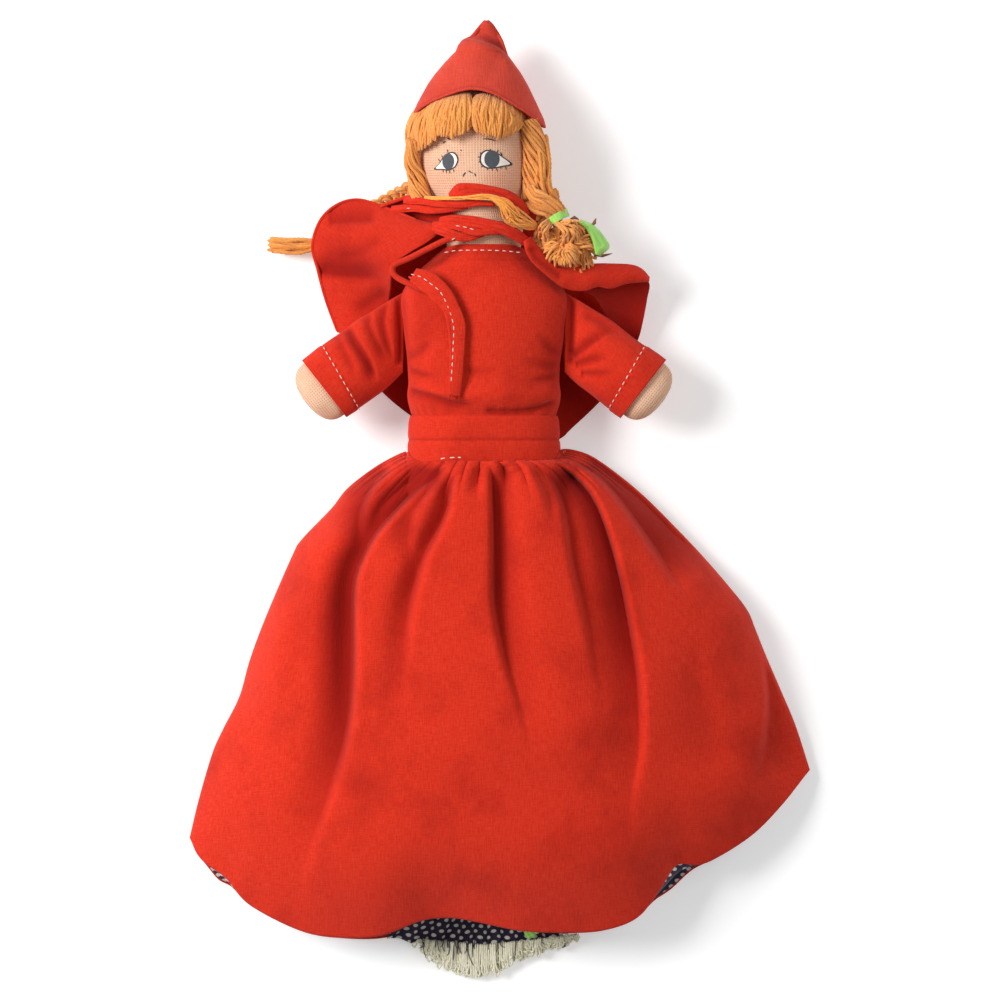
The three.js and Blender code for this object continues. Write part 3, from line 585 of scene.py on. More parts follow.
def ruled(name, near, far, material, rows=90, columns=40, bulge=0.0, lumps=0.0, creases=(), thick=CLOTH,
          shade=0.0):
    """A cloth between two lines, with a bulge between them, soft lumps and creases on the plan; its creases
    and its shade are also painted shade.
    """
    a, b = resampled(near, rows), resampled(far, rows)
    w = np.linspace(0, 1, columns)[None]
    grid = a[:, None] * (1 - w)[..., None] + b[:, None] * w[..., None]
    x, y = grid[..., 0].copy(), grid[..., 1].copy()
    depth = sum(crease(x, y, *row) for row in creases) + 0 * x
    grid[..., 2] += bulge * 4 * w * (1 - w) + lumps * crumple(x, y, 16, 0.5) * np.sin(w * math.pi) - depth
    wide = np.linalg.norm(b - a, axis=1)[:, None]
    flat = np.stack([run_of(a)[:, None] + 0 * x, w * wide], -1)
    # Painted shade: deeper creases are darker, and shade darkens the whole cloth
    return sheet(name, grid, material, flat, thick, fold=np.clip(depth / 3 + shade, 0, 0.85))


def stitch_row(name, points):
    """A row of running stitches along a line."""
    line = route(points, 0.3)
    starts = np.arange(max(1, round(run_of(line)[-1] / STITCH_PITCH))) * STITCH_PITCH
    lines = [at_run(line, np.linspace(start, start + STITCH_LENGTH, 5)) for start in starts]
    return tubes(name, lines, 0.17, STITCHES, sides=6, ply=0.05, seed=3)


# Skirt: gathered at the waist, spread over the hidden doll and puffed into folds

TORSO = [(0, 25.6, 12.6), (14.5, 25.6, 12.6), (30.5, 26.5, 14.3), (48.8, 27.9, 14.3), (61, 27.9, 13.6),
         (69.9, 20.8, 11.8), (76, 13.6, 11.2)]
LEFT_REACH, RIGHT_REACH = 108.4, 120.2
# Sides and hem of the skirt as it lies: the sides run down, the hem from the left corner to the right one
LEFT_SIDE = [(1.6, 27.4), (0.8, 30.5), (-4, 39.5), (-12, 50), (-19.5, 56), (-31, 67), (-37, 70.5), (-59, 80),
             (-75, 86), (-89, 90), (-101, 96), (-110, 100), (-127, 105), (-141.3, 108.4)]
RIGHT_SIDE = [(2.4, 27.6), (2.0, 33), (-0.5, 40), (-7.5, 50), (-16, 60), (-26, 70), (-36.5, 80), (-48, 90),
              (-57, 97), (-64, 100), (-74, 104), (-88, 110), (-100, 115), (-116.2, 120.2)]
HEM = [(-108.4, -141.3), (-104.7, -148.7), (-95.0, -156.9), (-86.2, -166.1), (-67.7, -175.4), (-52.9, -178.0),
       (-38.1, -177.2), (-23.3, -171.7), (-12.2, -170.6), (-1.1, -172.4), (13.7, -175.4), (28.5, -176.1),
       (43.3, -175.4), (56.0, -171.0), (64.5, -161.6), (72.9, -153.2), (84.0, -149.5), (98.8, -140.2),
       (109.9, -129.1), (120.2, -116.2)]
CROWN = [(0, 38.6), (0.06, 40.0), (0.3, 42.4), (0.66, 46.2), (0.86, 41.6), (1, 26.5)]

# Valleys of the folds on the plan: line, depth, width of the left wall, width of the right wall, fade
FOLDS = [
    ([(-11, -3), (-20, -8), (-26, -13), (-33, -20), (-40, -28), (-45, -37), (-48, -45), (-49, -55),
      (-49, -70), (-49.5, -85), (-51, -100), (-55, -116), (-61, -134), (-67, -152), (-72, -172)],
     11.0, 6.5, 1.3, (0.08, 0.36)),
    ([(-50, -80), (-55, -104), (-62, -120), (-68, -140), (-73, -156), (-75, -172)],
     4.5, 8.0, 5.0, (0.3, 1.4)),
    ([(-33, -3), (-40, -9), (-46, -20), (-47.5, -34)], 5.5, 5.0, 1.4, (0.15, 0.6)),
    ([(-21, -2), (-28, -9), (-38, -18), (-44, -26)], 2.6, 3.0, 1.2, (0.15, 0.6)),
    ([(-9, -5), (-12.5, -11), (-13.4, -18), (-16, -25), (-22, -36), (-26, -48), (-29, -62), (-31, -84),
      (-32, -104)],
     6.0, 4.0, 1.4, (0.08, 0.4)),
    ([(-14, -4), (-20, -12), (-26, -20), (-28.5, -30), (-29, -44)], 4.0, 3.4, 1.4, (0.15, 0.6)),
    ([(-1, -3), (-2.4, -9), (-2.8, -17)], 2.2, 1.8, 1.0, (0.2, 0.5)),
    ([(2.4, -2), (3.0, -12), (3.6, -30), (3.8, -50), (5.2, -62), (9, -78), (15, -96), (19, -116)],
     7.5, 0.8, 6.5, (0.1, 0.3)),
    ([(7.0, -2.4), (8.2, -7), (11, -11)], 2.4, 1.0, 2.6, (0.2, 0.5)),
    ([(17, -3), (21, -9), (25, -18), (27, -28)], 2.8, 1.2, 4.0, (0.2, 0.5)),
    ([(21, -3), (28, -13), (31, -24), (33, -38), (36, -50), (39, -62), (43, -82), (46, -104)],
     4.2, 1.2, 5.0, (0.1, 0.4)),
    ([(26, -2), (36, -10), (41.5, -18), (46, -30), (50, -45), (53, -60), (56, -78), (57, -92), (57, -108),
      (54, -126), (53, -146)],
     8.0, 6.0, 1.1, (0.06, 0.4)),
    ([(56, -80), (54, -105), (52, -122), (51.5, -140), (54, -158), (57, -172)], 6.0, 9.0, 6.0, (0.3, 1.4)),
    ([(33, -1.4), (41, -6), (48, -13), (55, -22), (63, -33), (71, -45), (79, -54)],
     6.5, 1.2, 12.0, (0.12, 0.6)),
    ([(30, -1), (34, -3), (38, -7)], 1.8, 1.6, 1.2, (0.2, 0.5)),
    ([(103, -72), (105.5, -88), (105, -104), (102, -124)], 4.0, 1.2, 9.0, (0.2, 0.6)),
    ([(71, -130), (67, -146), (64.5, -162)], 8.0, 2.6, 5.0, (0.5, 1.4)),
    ([(-96.5, -100), (-95, -128), (-94, -160)], 4.5, 7.0, 0.9, (0.4, 1.4)),
    ([(-8, -132), (-12, -150), (-10, -174)], 6.0, 11.0, 11.0, (0.6, 1.4)),
    ([(34, -104), (35, -140), (38, -178)], 3.0, 8.0, 7.0, (0.4, 1.4)),
    ([(-74, -48), (-77, -76), (-80, -104)], -2.4, 5.0, 5.0, (0.3, 0.6)),
    ([(-30, -96), (-34, -130), (-44, -172)], -2.0, 8.0, 8.0, (0.4, 1.4)),
    ([(74, -60), (80, -90), (84, -126)], 2.0, 8.0, 5.0, (0.4, 0.7)),
]

# Where the front's hem is short of the lining's: place, width and how much
HEM_LIFTS = [(70.5, 5.0, 3.4), (-96.0, 5.0, 0.6)]


def skirt_places(across, rows):
    """Places on the spread skirt on the plan, with their angle round the body and share of the length."""
    a = np.linspace(-1, 1, across)[:, None] * math.pi / 2 * np.ones(rows)[None]
    v = np.ones(across)[:, None] * (np.linspace(0, 1, rows) ** 1.35)[None]
    power = 2 / (2.7 + (1.8 - 2.7) * v)
    s = np.sign(a) * np.abs(np.sin(a)) ** power
    up = np.abs(np.cos(a)) ** power
    hem = route(HEM, 1.5)
    half, top = np.zeros_like(v), np.zeros_like(v)
    for side, reach in ((LEFT_SIDE, LEFT_REACH), (RIGHT_SIDE, RIGHT_REACH)):
        side = route(side, 1.5)
        share = (side[0, 0] - side[:, 0]) / (side[0, 0] - side[-1, 0])
        here = (s < 0) == (reach == LEFT_REACH)
        half = np.where(here, np.interp(v, share, side[:, 1]), half)
        top = np.where(here, side[0, 0] - (side[0, 0] + 2.0) * smoothstep(up, 0, 0.85), top)
    hem_y = np.interp(s * np.where(s < 0, LEFT_REACH, RIGHT_REACH), hem[:, 0], hem[:, 1])
    return a, v, s, up, s * half, top + v * (hem_y - top)


def skirt_front(across, rows, inside):
    """Face of the front of the skirt, the painted shade of its folds and gathers from 0 to 1, and its flat
    place.
    """
    a, v, _, up, x, y = skirt_places(across, rows)
    low = 3.3 + 2.2 * np.clip(1 - v / 0.16, 0, 1) ** 2
    z = low + up * (rows_at(CROWN, v)[..., 0] - low)
    depth = np.zeros_like(z)
    for line, deep, left, right, fade in FOLDS:
        wider = 1.6 if inside and deep > 0 else 0.0
        depth = depth + crease(x, y, line, deep, left + wider, right + wider, fade, 1.5)
    # Painted shade: darker where the fold valleys are deep
    shade = np.clip((depth - 1.0) / 8.0, 0, 0.8)
    down = 1.6 - y
    pleats = np.sin(a * 21 + 0.9 * np.sin(a * 5) + 0.6 * np.sin(a * 9 + 1))
    fine = 1 - np.abs(pleats) ** 0.55
    gathers = 3.0 * fine * swell(down, 1, 10.0)
    wide = 0.5 + 0.5 * np.sin(a * 10.5 + 0.8 * np.sin(a * 4))
    gathers = gathers + 0.55 * (0.5 + 0.5 * np.sin(a * 58 + 1.4 * np.sin(a * 11))) * swell(down, 2, 8.0)
    gathers = gathers + 1.2 * wide * smoothstep(down, 1, 9) * swell(down, 6, 22.0)
    soft = 0.9 * crumple(x, y, 46, 0.4) * smoothstep(v, 0.1, 0.4)
    side = smoothstep(up, 0.0, 0.3)
    drop = np.minimum(depth + gathers, (z - low) * 0.55)
    tuck = 4.6 * swell(down, 0, 3.4)
    z = z - (drop + np.minimum(tuck, (z - low) * 0.3)) * side + soft * side
    under = rows_at(TORSO, np.abs(y))
    beside_body = 1 - (x / (under[..., 0] + 2.5)) ** 2
    clear = BODY_Z + (under[..., 1] + 2.2) * np.sqrt(np.clip(beside_body, 0, 1))
    floor_z = np.where((y > -70) & (beside_body > 0), clear, -50)
    z = floor_z + 1.1 * np.logaddexp(0, (z - floor_z) / 1.1) - inside * (1 + 1.3 * swell(down, 1, 9.0))
    lift = sum(size * swell(x, middle, wide) for middle, wide, size in HEM_LIFTS)
    if inside:
        z = z - 0.75 * lift * v**5
    else:
        y = y + lift * v**14
    # Painted shade between the gathers at the waist
    shade = shade + np.clip((gathers - 0.9) / 3.4, 0, 0.55)
    grid = np.stack([x, y, z], -1)
    return grid, np.clip(shade * side, 0, 1), on_the_cloth(grid)


def on_the_cloth(grid):
    """Flat place of a cloth's points: the run across it, over its rise and fall, and down the plan."""
    across = np.cumsum(np.linalg.norm(np.diff(grid[..., ::2], axis=0, prepend=grid[:1, :, ::2]), axis=2),
                       axis=0)
    return np.stack([across - across[len(grid) // 2], -grid[..., 1]], -1)


def make_skirt():
    fine = ((420, 260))
    # fold is the painted shade of the folds and gathers, on the front and the lining alike
    grid, fold, flat = skirt_front(*fine, 0.0)
    front = sheet("skirt_front_cloth", grid, RED_COTTON, flat, fold=fold)
    sew_on(front, "skirt_front", None)
    fine = ((280, 170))
    grid, fold, flat = skirt_front(*fine, CLOTH + 0.35)
    down = flat[..., 1] - flat[:, :1, 1]
    grid[..., 1] += 0.3 * smoothstep(down, 120, 176) - 0.4 * (1 - smoothstep(down, 0, 5))
    grid[..., 2] -= 2.2 * (1 - smoothstep(down, 0, 18))
    lining = sheet("skirt_lining_cloth", grid, DOTS, flat, fold=fold)
    sew_on(lining, "skirt_lining_front", None)
    for made, under in ((front, "skirt_lining_cloth"), (lining, "hidden_head")):
        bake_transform(made)


# The back of the skirt lies flat; its hem shows past the front at the left, the right and the middle
BACK_PEEPS = [(-98.0, 4.0, 2.4), (70.5, 6.5, 4.0), (-8.0, 26.0, 4.4)]


def make_skirt_back(doll, name, node, bottom, longer, lower):
    _, material, slot = DRESS[doll]
    _, v, s, _, x, y = skirt_places(180, 90)
    peep = sum(size * swell(x, middle, wide) for middle, wide, size in BACK_PEEPS)
    y = y - (peep + longer) * v ** 3 - lower * (1 - smoothstep(v, 0, 0.08))
    ripple = 0.35 * crumple(x, y, 30, 1.0) * (1 - np.abs(s) ** 4)
    rise = 2.4 * np.clip(1 - v / 0.16, 0, 1) ** 2
    z = bottom + rise + 0.3 + ripple * smoothstep(v, 0.1, 0.3)
    grid = np.stack([x, y, z], -1)
    # Painted shade: the back darkens towards its hem, where it lies under the front
    made = sheet(name, grid, material, on_the_cloth(grid), thick=0.6, fold=0.25 * smoothstep(v, 0.85, 1))
    sew_on(made, node)


# Torso, bodices and waistbands

BODICE_OUT = [(14, 0.2), (16, 0.9), (19, 1.7), (22.5, 2.0), (27, 1.2), (33, 1.0), (48, 1.6), (60, 1.6),
              (70, 1.3), (77, 1.0)]
WAISTBAND_OUT = [(-3, 1.5), (0.8, 1.7), (4.8, 1.7), (6.0, 1.4), (7.2, 1.6), (11, 1.5), (13.4, 1.2),
                 (14.8, 0.7)]


def around_body(places, angles, out):
    """Points round the torso at places along it; out is the distance from it."""
    size = rows_at(TORSO, np.maximum(places, 0))
    wide, deep = size[..., 0] + out, size[..., 1] + out
    return np.stack([wide * np.cos(angles), places, BODY_Z + deep * np.sin(angles)], -1)


BODICE_CREASES = [
    ([(-27.5, 24.8), (-20, 22.8), (-12, 20.6), (-2, 18.8)], 1.7, 2.8, 0.9, (0.02, 0.7)),
    ([(0, 17.2), (10, 16.8), (19, 18.0), (27, 21)], 1.6, 1.6, 0.9, (0.1, 0.9)),
    ([(31, 32.5), (24, 29.4), (15, 27.4)], 1.3, 1.0, 2.2, (0.02, 0.4)),
    ([(31, 34), (22, 34.4), (13, 37)], 1.1, 1.0, 2.4, (0.02, 0.4)),
    ([(31, 36), (25, 40), (19, 47)], 1.0, 1.6, 1.8, (0.02, 0.4)),
    ([(-30, 34), (-23, 30.6), (-14, 29.4)], 1.2, 1.8, 1.0, (0.02, 0.4)),
    ([(-30, 36), (-24, 38.6), (-17, 44)], 1.0, 1.8, 1.6, (0.02, 0.4)),
    ([(-12, 34), (-4, 31.4), (6, 32)], 0.5, 2.0, 1.4, (0.3, 0.7)),
    ([(-30.6, 62), (-29.6, 48), (-28.6, 33)], 1.3, 0.7, 1.2, (0.0, 0.95)),
    ([(31.6, 60), (31.6, 46), (30.6, 33)], 1.3, 1.2, 0.7, (0.0, 0.95)),
    ([(19, 22), (19.6, 18.4), (20.4, 15.4)], 0.7, 0.7, 0.7, (0.1, 1.4)),
    ([(-17, 22), (-16.4, 18.6), (-16.8, 15.2)], 0.7, 0.7, 0.7, (0.1, 1.4)),
]


def dress_piece(doll, part, grid, flat, fold, thick):
    """A cloth of a doll's dress that closes round the torso."""
    prefix, material, slot = DRESS[doll]
    made = sheet(f"{prefix}_{part}_cloth", turned(grid, doll), material, flat, thick, wrap=True, under=-doll,
                 fold=fold)
    sew_on(made, f"{prefix}_{part}")


def make_bodice(doll):
    u = np.linspace(0, math.tau, 180, endpoint=False)[:, None]
    t = np.linspace(0, 1, 120)[None]
    y = 14.0 + t * (NECK_BASE + 0.4 + 2.2 * smoothstep(np.sin(u), 0, 1) - 14.0)
    if doll == RED:
        out = rows_at(BODICE_OUT, y)[..., 0] + 1.5 * swell(y, 23, 4.6) * smoothstep(np.sin(u), 0.1, 0.8)
    else:
        out = 0.9 + 0 * y
    x = around_body(y, u + 0 * t, out)[..., 0]
    front = smoothstep(np.sin(u), 0.0, 0.4)
    depth = sum(crease(x, y, *row) for row in BODICE_CREASES) * front * (1 if doll == RED else 0.4)
    depth = depth + 0.35 * (0.5 + 0.5 * np.sin(u * 26 + 2 * np.sin(u * 5))) * swell(y, 16, 3.0)
    lumps = 0.45 * crumple(x, y, 22, 0.9)
    hem = 0.35 * smoothstep(y, NECK_BASE - 3.4, NECK_BASE - 3.0)
    grid = around_body(y, u + 0 * t, np.maximum(out - depth + lumps * 0.6 + hem, 0.5))
    flat = np.stack([np.broadcast_to(u * 27, y.shape), y], -1)
    # Painted shade in the creases
    dress_piece(doll, "bodice", grid, flat, np.clip(depth / 2.2, 0, 0.7), 0.45)


def make_waistband(doll):
    u = np.linspace(0, math.tau, 160, endpoint=False)[:, None]
    t = np.linspace(0, 1, 40)[None]
    low = (-0.4 - 3.4 * np.clip(np.sin(u), -0.2, 1)) if doll == RED else 3.4 + 0 * u
    y = low + t * (14.8 - low)
    out = rows_at(WAISTBAND_OUT, y)[..., 0] * (1.0 if doll == RED else 0.35)
    grid = around_body(y, u, out + 0.22 * crumple(u * 26, y * 0.6, 17, 2.0))
    flat = np.stack([np.broadcast_to(u * 26, y.shape), y], -1)
    # Painted shade along the groove round the middle of the band
    dress_piece(doll, "waistband", grid, flat, 0.36 * swell(y, 6.3, 0.7), 0.9)


def make_torso():
    y = np.linspace(-NECK_BASE, NECK_BASE, 80)[:, None]
    u = np.linspace(0, math.tau, 64, endpoint=False)[None]
    grid = around_body(np.abs(y) + 0 * u, u + 0 * y, 0.0)
    grid[..., 1] = y
    flat = np.stack([u * 26 + 0 * y, y + 0 * u], -1)
    made = form("stuffed_torso", grid, MUSLIN, flat, blush=0 * flat[..., 0])
    sew_on(made, "double_ended_torso")


# Arms: flat at the sewn seam, round at the cuff, with a stub of a stuffed hand

SLEEVE_ROWS = [(0, 14.8, 1.7), (0.2, 14.6, 4.6), (0.4, 14.2, 7.0), (0.7, 13.6, 8.4), (1, 13.2, 7.6)]
HAND_REACH = 8.5
# How far each doll's arms point down from level, the height of their shoulders and how much they droop
ARMS = {RED: (math.radians(38), 20.0, 0.0), HIDDEN: (math.radians(-58), 17.8, 6.0)}


def limb(doll, side, shares, angles, grow):
    """Points of a sleeve or an arm at shares of the way from the shoulder seam to past the cuff."""
    turn, height, droop = ARMS[doll]
    ahead = np.array([side * math.cos(turn), -math.sin(turn), 0.0])
    root = np.array([side * (SHOULDER[0] - 2.4), SHOULDER[1], height])
    cuff = np.array([side * SHOULDER[0], SHOULDER[1], height - droop]) + ahead * SLEEVE_LENGTH
    t = np.minimum(shares, 1)[:, None]
    past = np.maximum(shares - 1, 0)[:, None] * SLEEVE_LENGTH
    size = rows_at(SLEEVE_ROWS, np.minimum(shares, 1))
    shrink = np.clip(1 - (past / HAND_REACH) ** 2.5, 0, 1) ** 0.42
    lean = t * turn
    across = np.stack([side * np.sin(lean), np.cos(lean), np.zeros_like(lean)], -1)
    middle = root + (cuff - root) * t + ahead * past
    wide = (size[:, :1] + grow) * shrink * np.cos(angles)
    deep = (size[:, 1:2] + grow) * shrink * np.sin(angles)
    grid = middle[:, None] + across * wide[..., None]
    grid[..., 2] += deep
    return grid


SLEEVE_CREASES = {
    -1: [([(-51, 50), (-47.4, 43), (-42.4, 35), (-39.6, 27)], 2.2, 2.6, 0.9, (0.02, 0.8)),
         ([(-55, 47), (-52.4, 41), (-49, 34), (-47, 27)], 0.9, 1.8, 1.2, (0.1, 0.6)),
         ([(-36, 60), (-37.2, 50), (-35, 40), (-33, 33)], 1.4, 2.4, 1.2, (0.1, 0.7)),
         ([(-43, 57), (-42.4, 49), (-38.4, 40), (-35.6, 33)], 1.2, 2.0, 1.2, (0.1, 0.7)),
         ([(-31.5, 62), (-31.2, 46), (-31.2, 33)], 1.8, 1.2, 1.6, (0.0, 0.95))],
    1: [([(33.0, 62), (32.6, 46), (32.0, 33)], 1.8, 1.6, 1.2, (0.0, 0.95)),
        ([(33, 36), (38.5, 41), (44, 45), (50, 47)], 1.7, 0.9, 2.4, (0.02, 0.5)),
        ([(34, 33), (41, 35.6), (48, 37)], 1.5, 1.0, 2.0, (0.02, 0.5)),
        ([(36, 30), (43, 30), (50, 31)], 1.0, 1.2, 1.6, (0.02, 0.5)),
        ([(36, 54), (44, 50), (52, 43)], 1.0, 2.4, 1.4, (0.2, 0.6))],
}


def make_sleeve(doll, side, place):
    prefix, material, slot = DRESS[doll]
    shares = np.linspace(0, 1, 70)
    angles = np.linspace(0, math.tau, 110, endpoint=False)[None]
    grid = limb(doll, side, shares, angles, 0.0)
    x, y = grid[..., 0], grid[..., 1]
    front = smoothstep(np.sin(angles), -0.1, 0.4)
    depth = sum(crease(x, y, *row) for row in SLEEVE_CREASES[side]) * front if doll == RED else 0 * x
    hem = 0.3 * smoothstep(shares[:, None], 0.80, 0.815)
    lumps = 0.5 * crumple(x, y, 19, 0.3 * side) * smoothstep(shares[:, None], 0.1, 0.5)
    grid = limb(doll, side, shares, angles, lumps + hem - depth)
    flat = np.stack([angles * 12 + 0 * x, shares[:, None] * 36 + 0 * x], -1)
    # Painted shade in the creases
    grid, flat, fold = (np.swapaxes(g, 0, 1) for g in (grid, flat, np.clip(depth / 2.4, 0, 0.75)))
    made = sheet(f"{prefix}_sleeve_{place}_cloth", turned(grid, doll), material, flat, thick=0.5, wrap=True,
                 under=-side * doll, fold=fold)
    sew_on(made, f"{prefix}_sleeve_{place}", None)
    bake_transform(made)


def make_arm(doll, side, place):
    prefix = DRESS[doll][0]
    past = np.sin(np.linspace(0.1, 1, 16) * math.pi / 2) * HAND_REACH / SLEEVE_LENGTH
    shares = np.concatenate([np.linspace(0.12, 1, 24), 1 + past])
    angles = np.linspace(0, math.tau, 110, endpoint=False)[None, ::2]
    grid = limb(doll, side, shares, angles, -3.6 + 2.5 * smoothstep(shares, 0.8, 1)[:, None])
    x, y = grid[..., 0], grid[..., 1]
    grid[..., 2] += 0.5 * crumple(x, y, 11, side) * smoothstep(shares, 1, 1.1)[:, None]
    flat = np.stack([angles * 11 + 0 * x, shares[:, None] * 36 + 0 * x], -1)
    made = form(f"{prefix}_arm_{place}_stuffed", turned(grid, doll), MUSLIN, flat, blush=0 * x)
    sew_on(made, f"{prefix}_arm_{place}", f"arm_{prefix}_{place}")


def make_cuff_stitches(side, place):
    """White running stitches round the cuff's hem."""
    angles = np.linspace(-0.15, math.pi + 0.15, 60)[None]
    line = limb(RED, side, np.array([0.79]), angles, 0.65)[0][::side]
    made = stitch_row(f"cuff_stitches_{place}", line[::6])
    sew_on(made, None, f"arm_red_{place}")


# Heads

HEAD = [(HEAD_FOOT, 13.6, 11.6, 0, 0.3), (84.8, 14.4, 12.8, 0, 0.5), (93.4, 15.5, 13.9, -1.6, 0.9),
        (101.9, 18.4, 14.1, -3.4, 1.5), (111.7, 19.6, 14.6, -4, 1.5), (122.7, 19.2, 14.6, -4, 1.5),
        (131.8, 14.9, 11.7, -4, 1.5), (HEAD_TOP, 5.9, 4.4, -4, 1.5)]
HIDDEN_HEAD = [(y, w, d, 0, z * 1.27) for y, w, d, x, z in HEAD]


def around_head(rows, y, angles, out):
    size = rows_at(rows, y)
    return np.stack([size[..., 2] + (size[..., 0] + out) * np.cos(angles), y,
                     BODY_Z + size[..., 3] + (size[..., 1] + out) * np.sin(angles)], -1)


def on_face(rows, x, y, out):
    """Height of the front of a head at a place on the plan."""
    size = rows_at(rows, np.asarray(y, float))
    share = np.clip((x - size[..., 2]) / (size[..., 0] + out), -0.99, 0.99)
    return BODY_Z + size[..., 3] + (size[..., 1] + out) * np.sqrt(1 - share**2)


# Middle of each cheek's blush, and how strong it is
CHEEKS = [(-12.0, 0.5), (9.0, 1.0)]


def make_head(doll, rows, node):
    t = np.linspace(0, 1, 90)[:, None]
    u = np.linspace(0, math.tau, 96, endpoint=False)[None]
    y = HEAD_FOOT + t * (HEAD_TOP - HEAD_FOOT) + 0 * u
    grid = around_head(rows, y, u + 0 * t, 0.06 * crumple(u * 18, y, 24, 0.2))
    x = grid[..., 0] - rows[4][3]
    cheeks = sum(size * swell(x, middle, 5.5) for middle, size in CHEEKS) * swell(y, 102.5, 4.0)
    blush = cheeks * smoothstep(np.sin(u), 0, 0.5)
    flat = np.stack([u * 17 + 0 * t, y], -1)
    made = form(node + "_stuffed", turned(grid, doll), MUSLIN, flat, blush=blush)
    sew_on(made, node)


def print_on(name, rows, doll, shapes, material, out):
    """Painted shapes on a face: outlines on the plan, laid on the cloth."""
    points, faces = [], []
    for outline in shapes:
        middle = outline.mean(0)
        base, count = len(points), len(outline)
        rings = [middle + (outline - middle) * share for share in (1.0, 0.66, 0.33)] + [middle[None]]
        points += [(x, y, on_face(rows, x, y, out)) for x, y in np.concatenate(rings)]
        for k in range(count):
            m = (k + 1) % count
            for a, b in ((base, base + count), (base + count, base + 2 * count)):
                faces.append([a + k, a + m, b + m, b + k])
            faces.append([base + 2 * count + k, base + 2 * count + m, base + 3 * count])
    points = turned(points, doll)
    a, b, c = points[faces[0][:3]]
    if np.cross(b - a, c - a)[2] < 0:
        faces = [face[::-1] for face in faces]
    made = piece(name, points, faces, material, points[:, :2])
    sew_on(made, None)


def oval(cx, cy, rx, ry, count=28):
    a = np.linspace(0, math.tau, count, endpoint=False)
    return np.column_stack([cx + rx * np.cos(a), cy + ry * np.sin(a)])


def stroke(points, half):
    """A thin painted stroke, as an outline that tapers at its ends."""
    line = route(points, 0.3)
    side = directions(line)[:, ::-1] * [-1, 1]
    wide = half * (0.6 + 0.4 * np.sin(np.linspace(0, math.pi, len(line))))[:, None]
    return np.vstack([line + side * wide, (line - side * wide)[::-1]])


LEFT_EYE = [(-18.5, 106.2), (-16.7, 108.3), (-15.3, 110.5), (-13.7, 112.0), (-11.6, 112.7), (-10.1, 111.8),
            (-9.4, 110.0), (-9.8, 108.3), (-10.8, 106.8), (-13.0, 105.8), (-15.5, 106.0)]
RIGHT_EYE = [(-1.6, 110.3), (-1.2, 112.0), (0.5, 113.3), (2.5, 113.3), (4.6, 112.5), (7.4, 110.7),
             (10.7, 108.0), (7.4, 107.2), (4.4, 106.6), (1.4, 106.5), (-0.5, 107.4), (-1.5, 108.8)]

# Lashes, brows and the nose, as short strokes, and the half width of each
FACE_STROKES = [
    ([(-13.3, 112.3), (-13.5, 113.6)], 0.15), ([(-15.1, 110.5), (-15.7, 111.3)], 0.15),
    ([(-16.3, 109.0), (-16.9, 110.2)], 0.12), ([(-15.2, 106.3), (-15.1, 105.1)], 0.15),
    ([(-13.9, 106.0), (-13.8, 104.9)], 0.15), ([(-12.8, 105.9), (-12.6, 104.7)], 0.15),
    ([(-11.3, 106.2), (-11.0, 105.2)], 0.15), ([(-8.6, 113.5), (-8.3, 113.0)], 0.2),
    ([(2.4, 112.9), (2.4, 113.9)], 0.15), ([(4.8, 112.2), (5.3, 113.4)], 0.17),
    ([(6.7, 110.9), (6.3, 112.5)], 0.26), ([(-1.1, 111.9), (-1.6, 112.6)], 0.15),
    ([(-1.5, 110.6), (-2.3, 110.9)], 0.18), ([(-1.4, 109.1), (-2.1, 108.8)], 0.15),
    ([(-0.4, 107.5), (-1.0, 107.0)], 0.15), ([(1.3, 106.7), (1.3, 105.9)], 0.15),
    ([(3.0, 106.7), (3.1, 105.6)], 0.17), ([(4.6, 106.8), (5.0, 105.4)], 0.17),
    ([(6.3, 107.1), (6.4, 106.3)], 0.15), ([(8.0, 107.6), (8.4, 106.0)], 0.15),
    ([(-0.3, 117.5), (2.0, 117.4), (4.3, 116.8)], 0.22), ([(-15.1, 115.9), (-14.2, 116.6)], 0.22),
    ([(-13.6, 117.8), (-12.3, 117.2)], 0.26), ([(-7.7, 103.5), (-7.4, 104.3), (-6.7, 105.1)], 0.24),
    ([(-5.9, 105.6), (-5.3, 105.4), (-4.1, 104.8)], 0.17),
    ([(-3.5, 104.7), (-3.2, 104.2), (-3.1, 103.6)], 0.24),
]
SMILE = ([(-9.5, 99.0), (-7.5, 97.8), (-5.5, 97.5), (-3.5, 97.8), (-1.5, 99.0)], 0.3)


def make_face(doll, rows, prefix, shift=0.0):
    eyes = [closed_curve(np.array(eye) + [shift, 0]) for eye in (LEFT_EYE, RIGHT_EYE)]
    centres = [np.array([-13.2 + shift, 109.1]), np.array([3.0 + shift, 110.0])]
    whites = [centre + (eye - centre) * 0.87 for eye, centre in zip(eyes, centres)]
    irises = [oval(*centres[0], 2.2, 3.05), oval(*centres[1], 2.85, 3.25)]
    strokes = FACE_STROKES + ([SMILE] if doll == HIDDEN else [])
    marks = [stroke(np.array(line) + [shift, 0], half) for line, half in strokes]
    print_on(prefix + "_eye_outlines", rows, doll, eyes + marks, INK, 0.16)
    print_on(prefix + "_eye_whites", rows, doll, whites, EYE_WHITE, 0.20)
    print_on(prefix + "_irises", rows, doll, irises, IRIS, 0.24)


# Yarn hair

def yarn_piece(name, lines, node, body, seed, doll=RED, half=YARN_HALF):
    made = tubes(name, [turned(line, doll) for line in lines], half, ORANGE_YARN, seed=seed)
    sew_on(made, node, body)


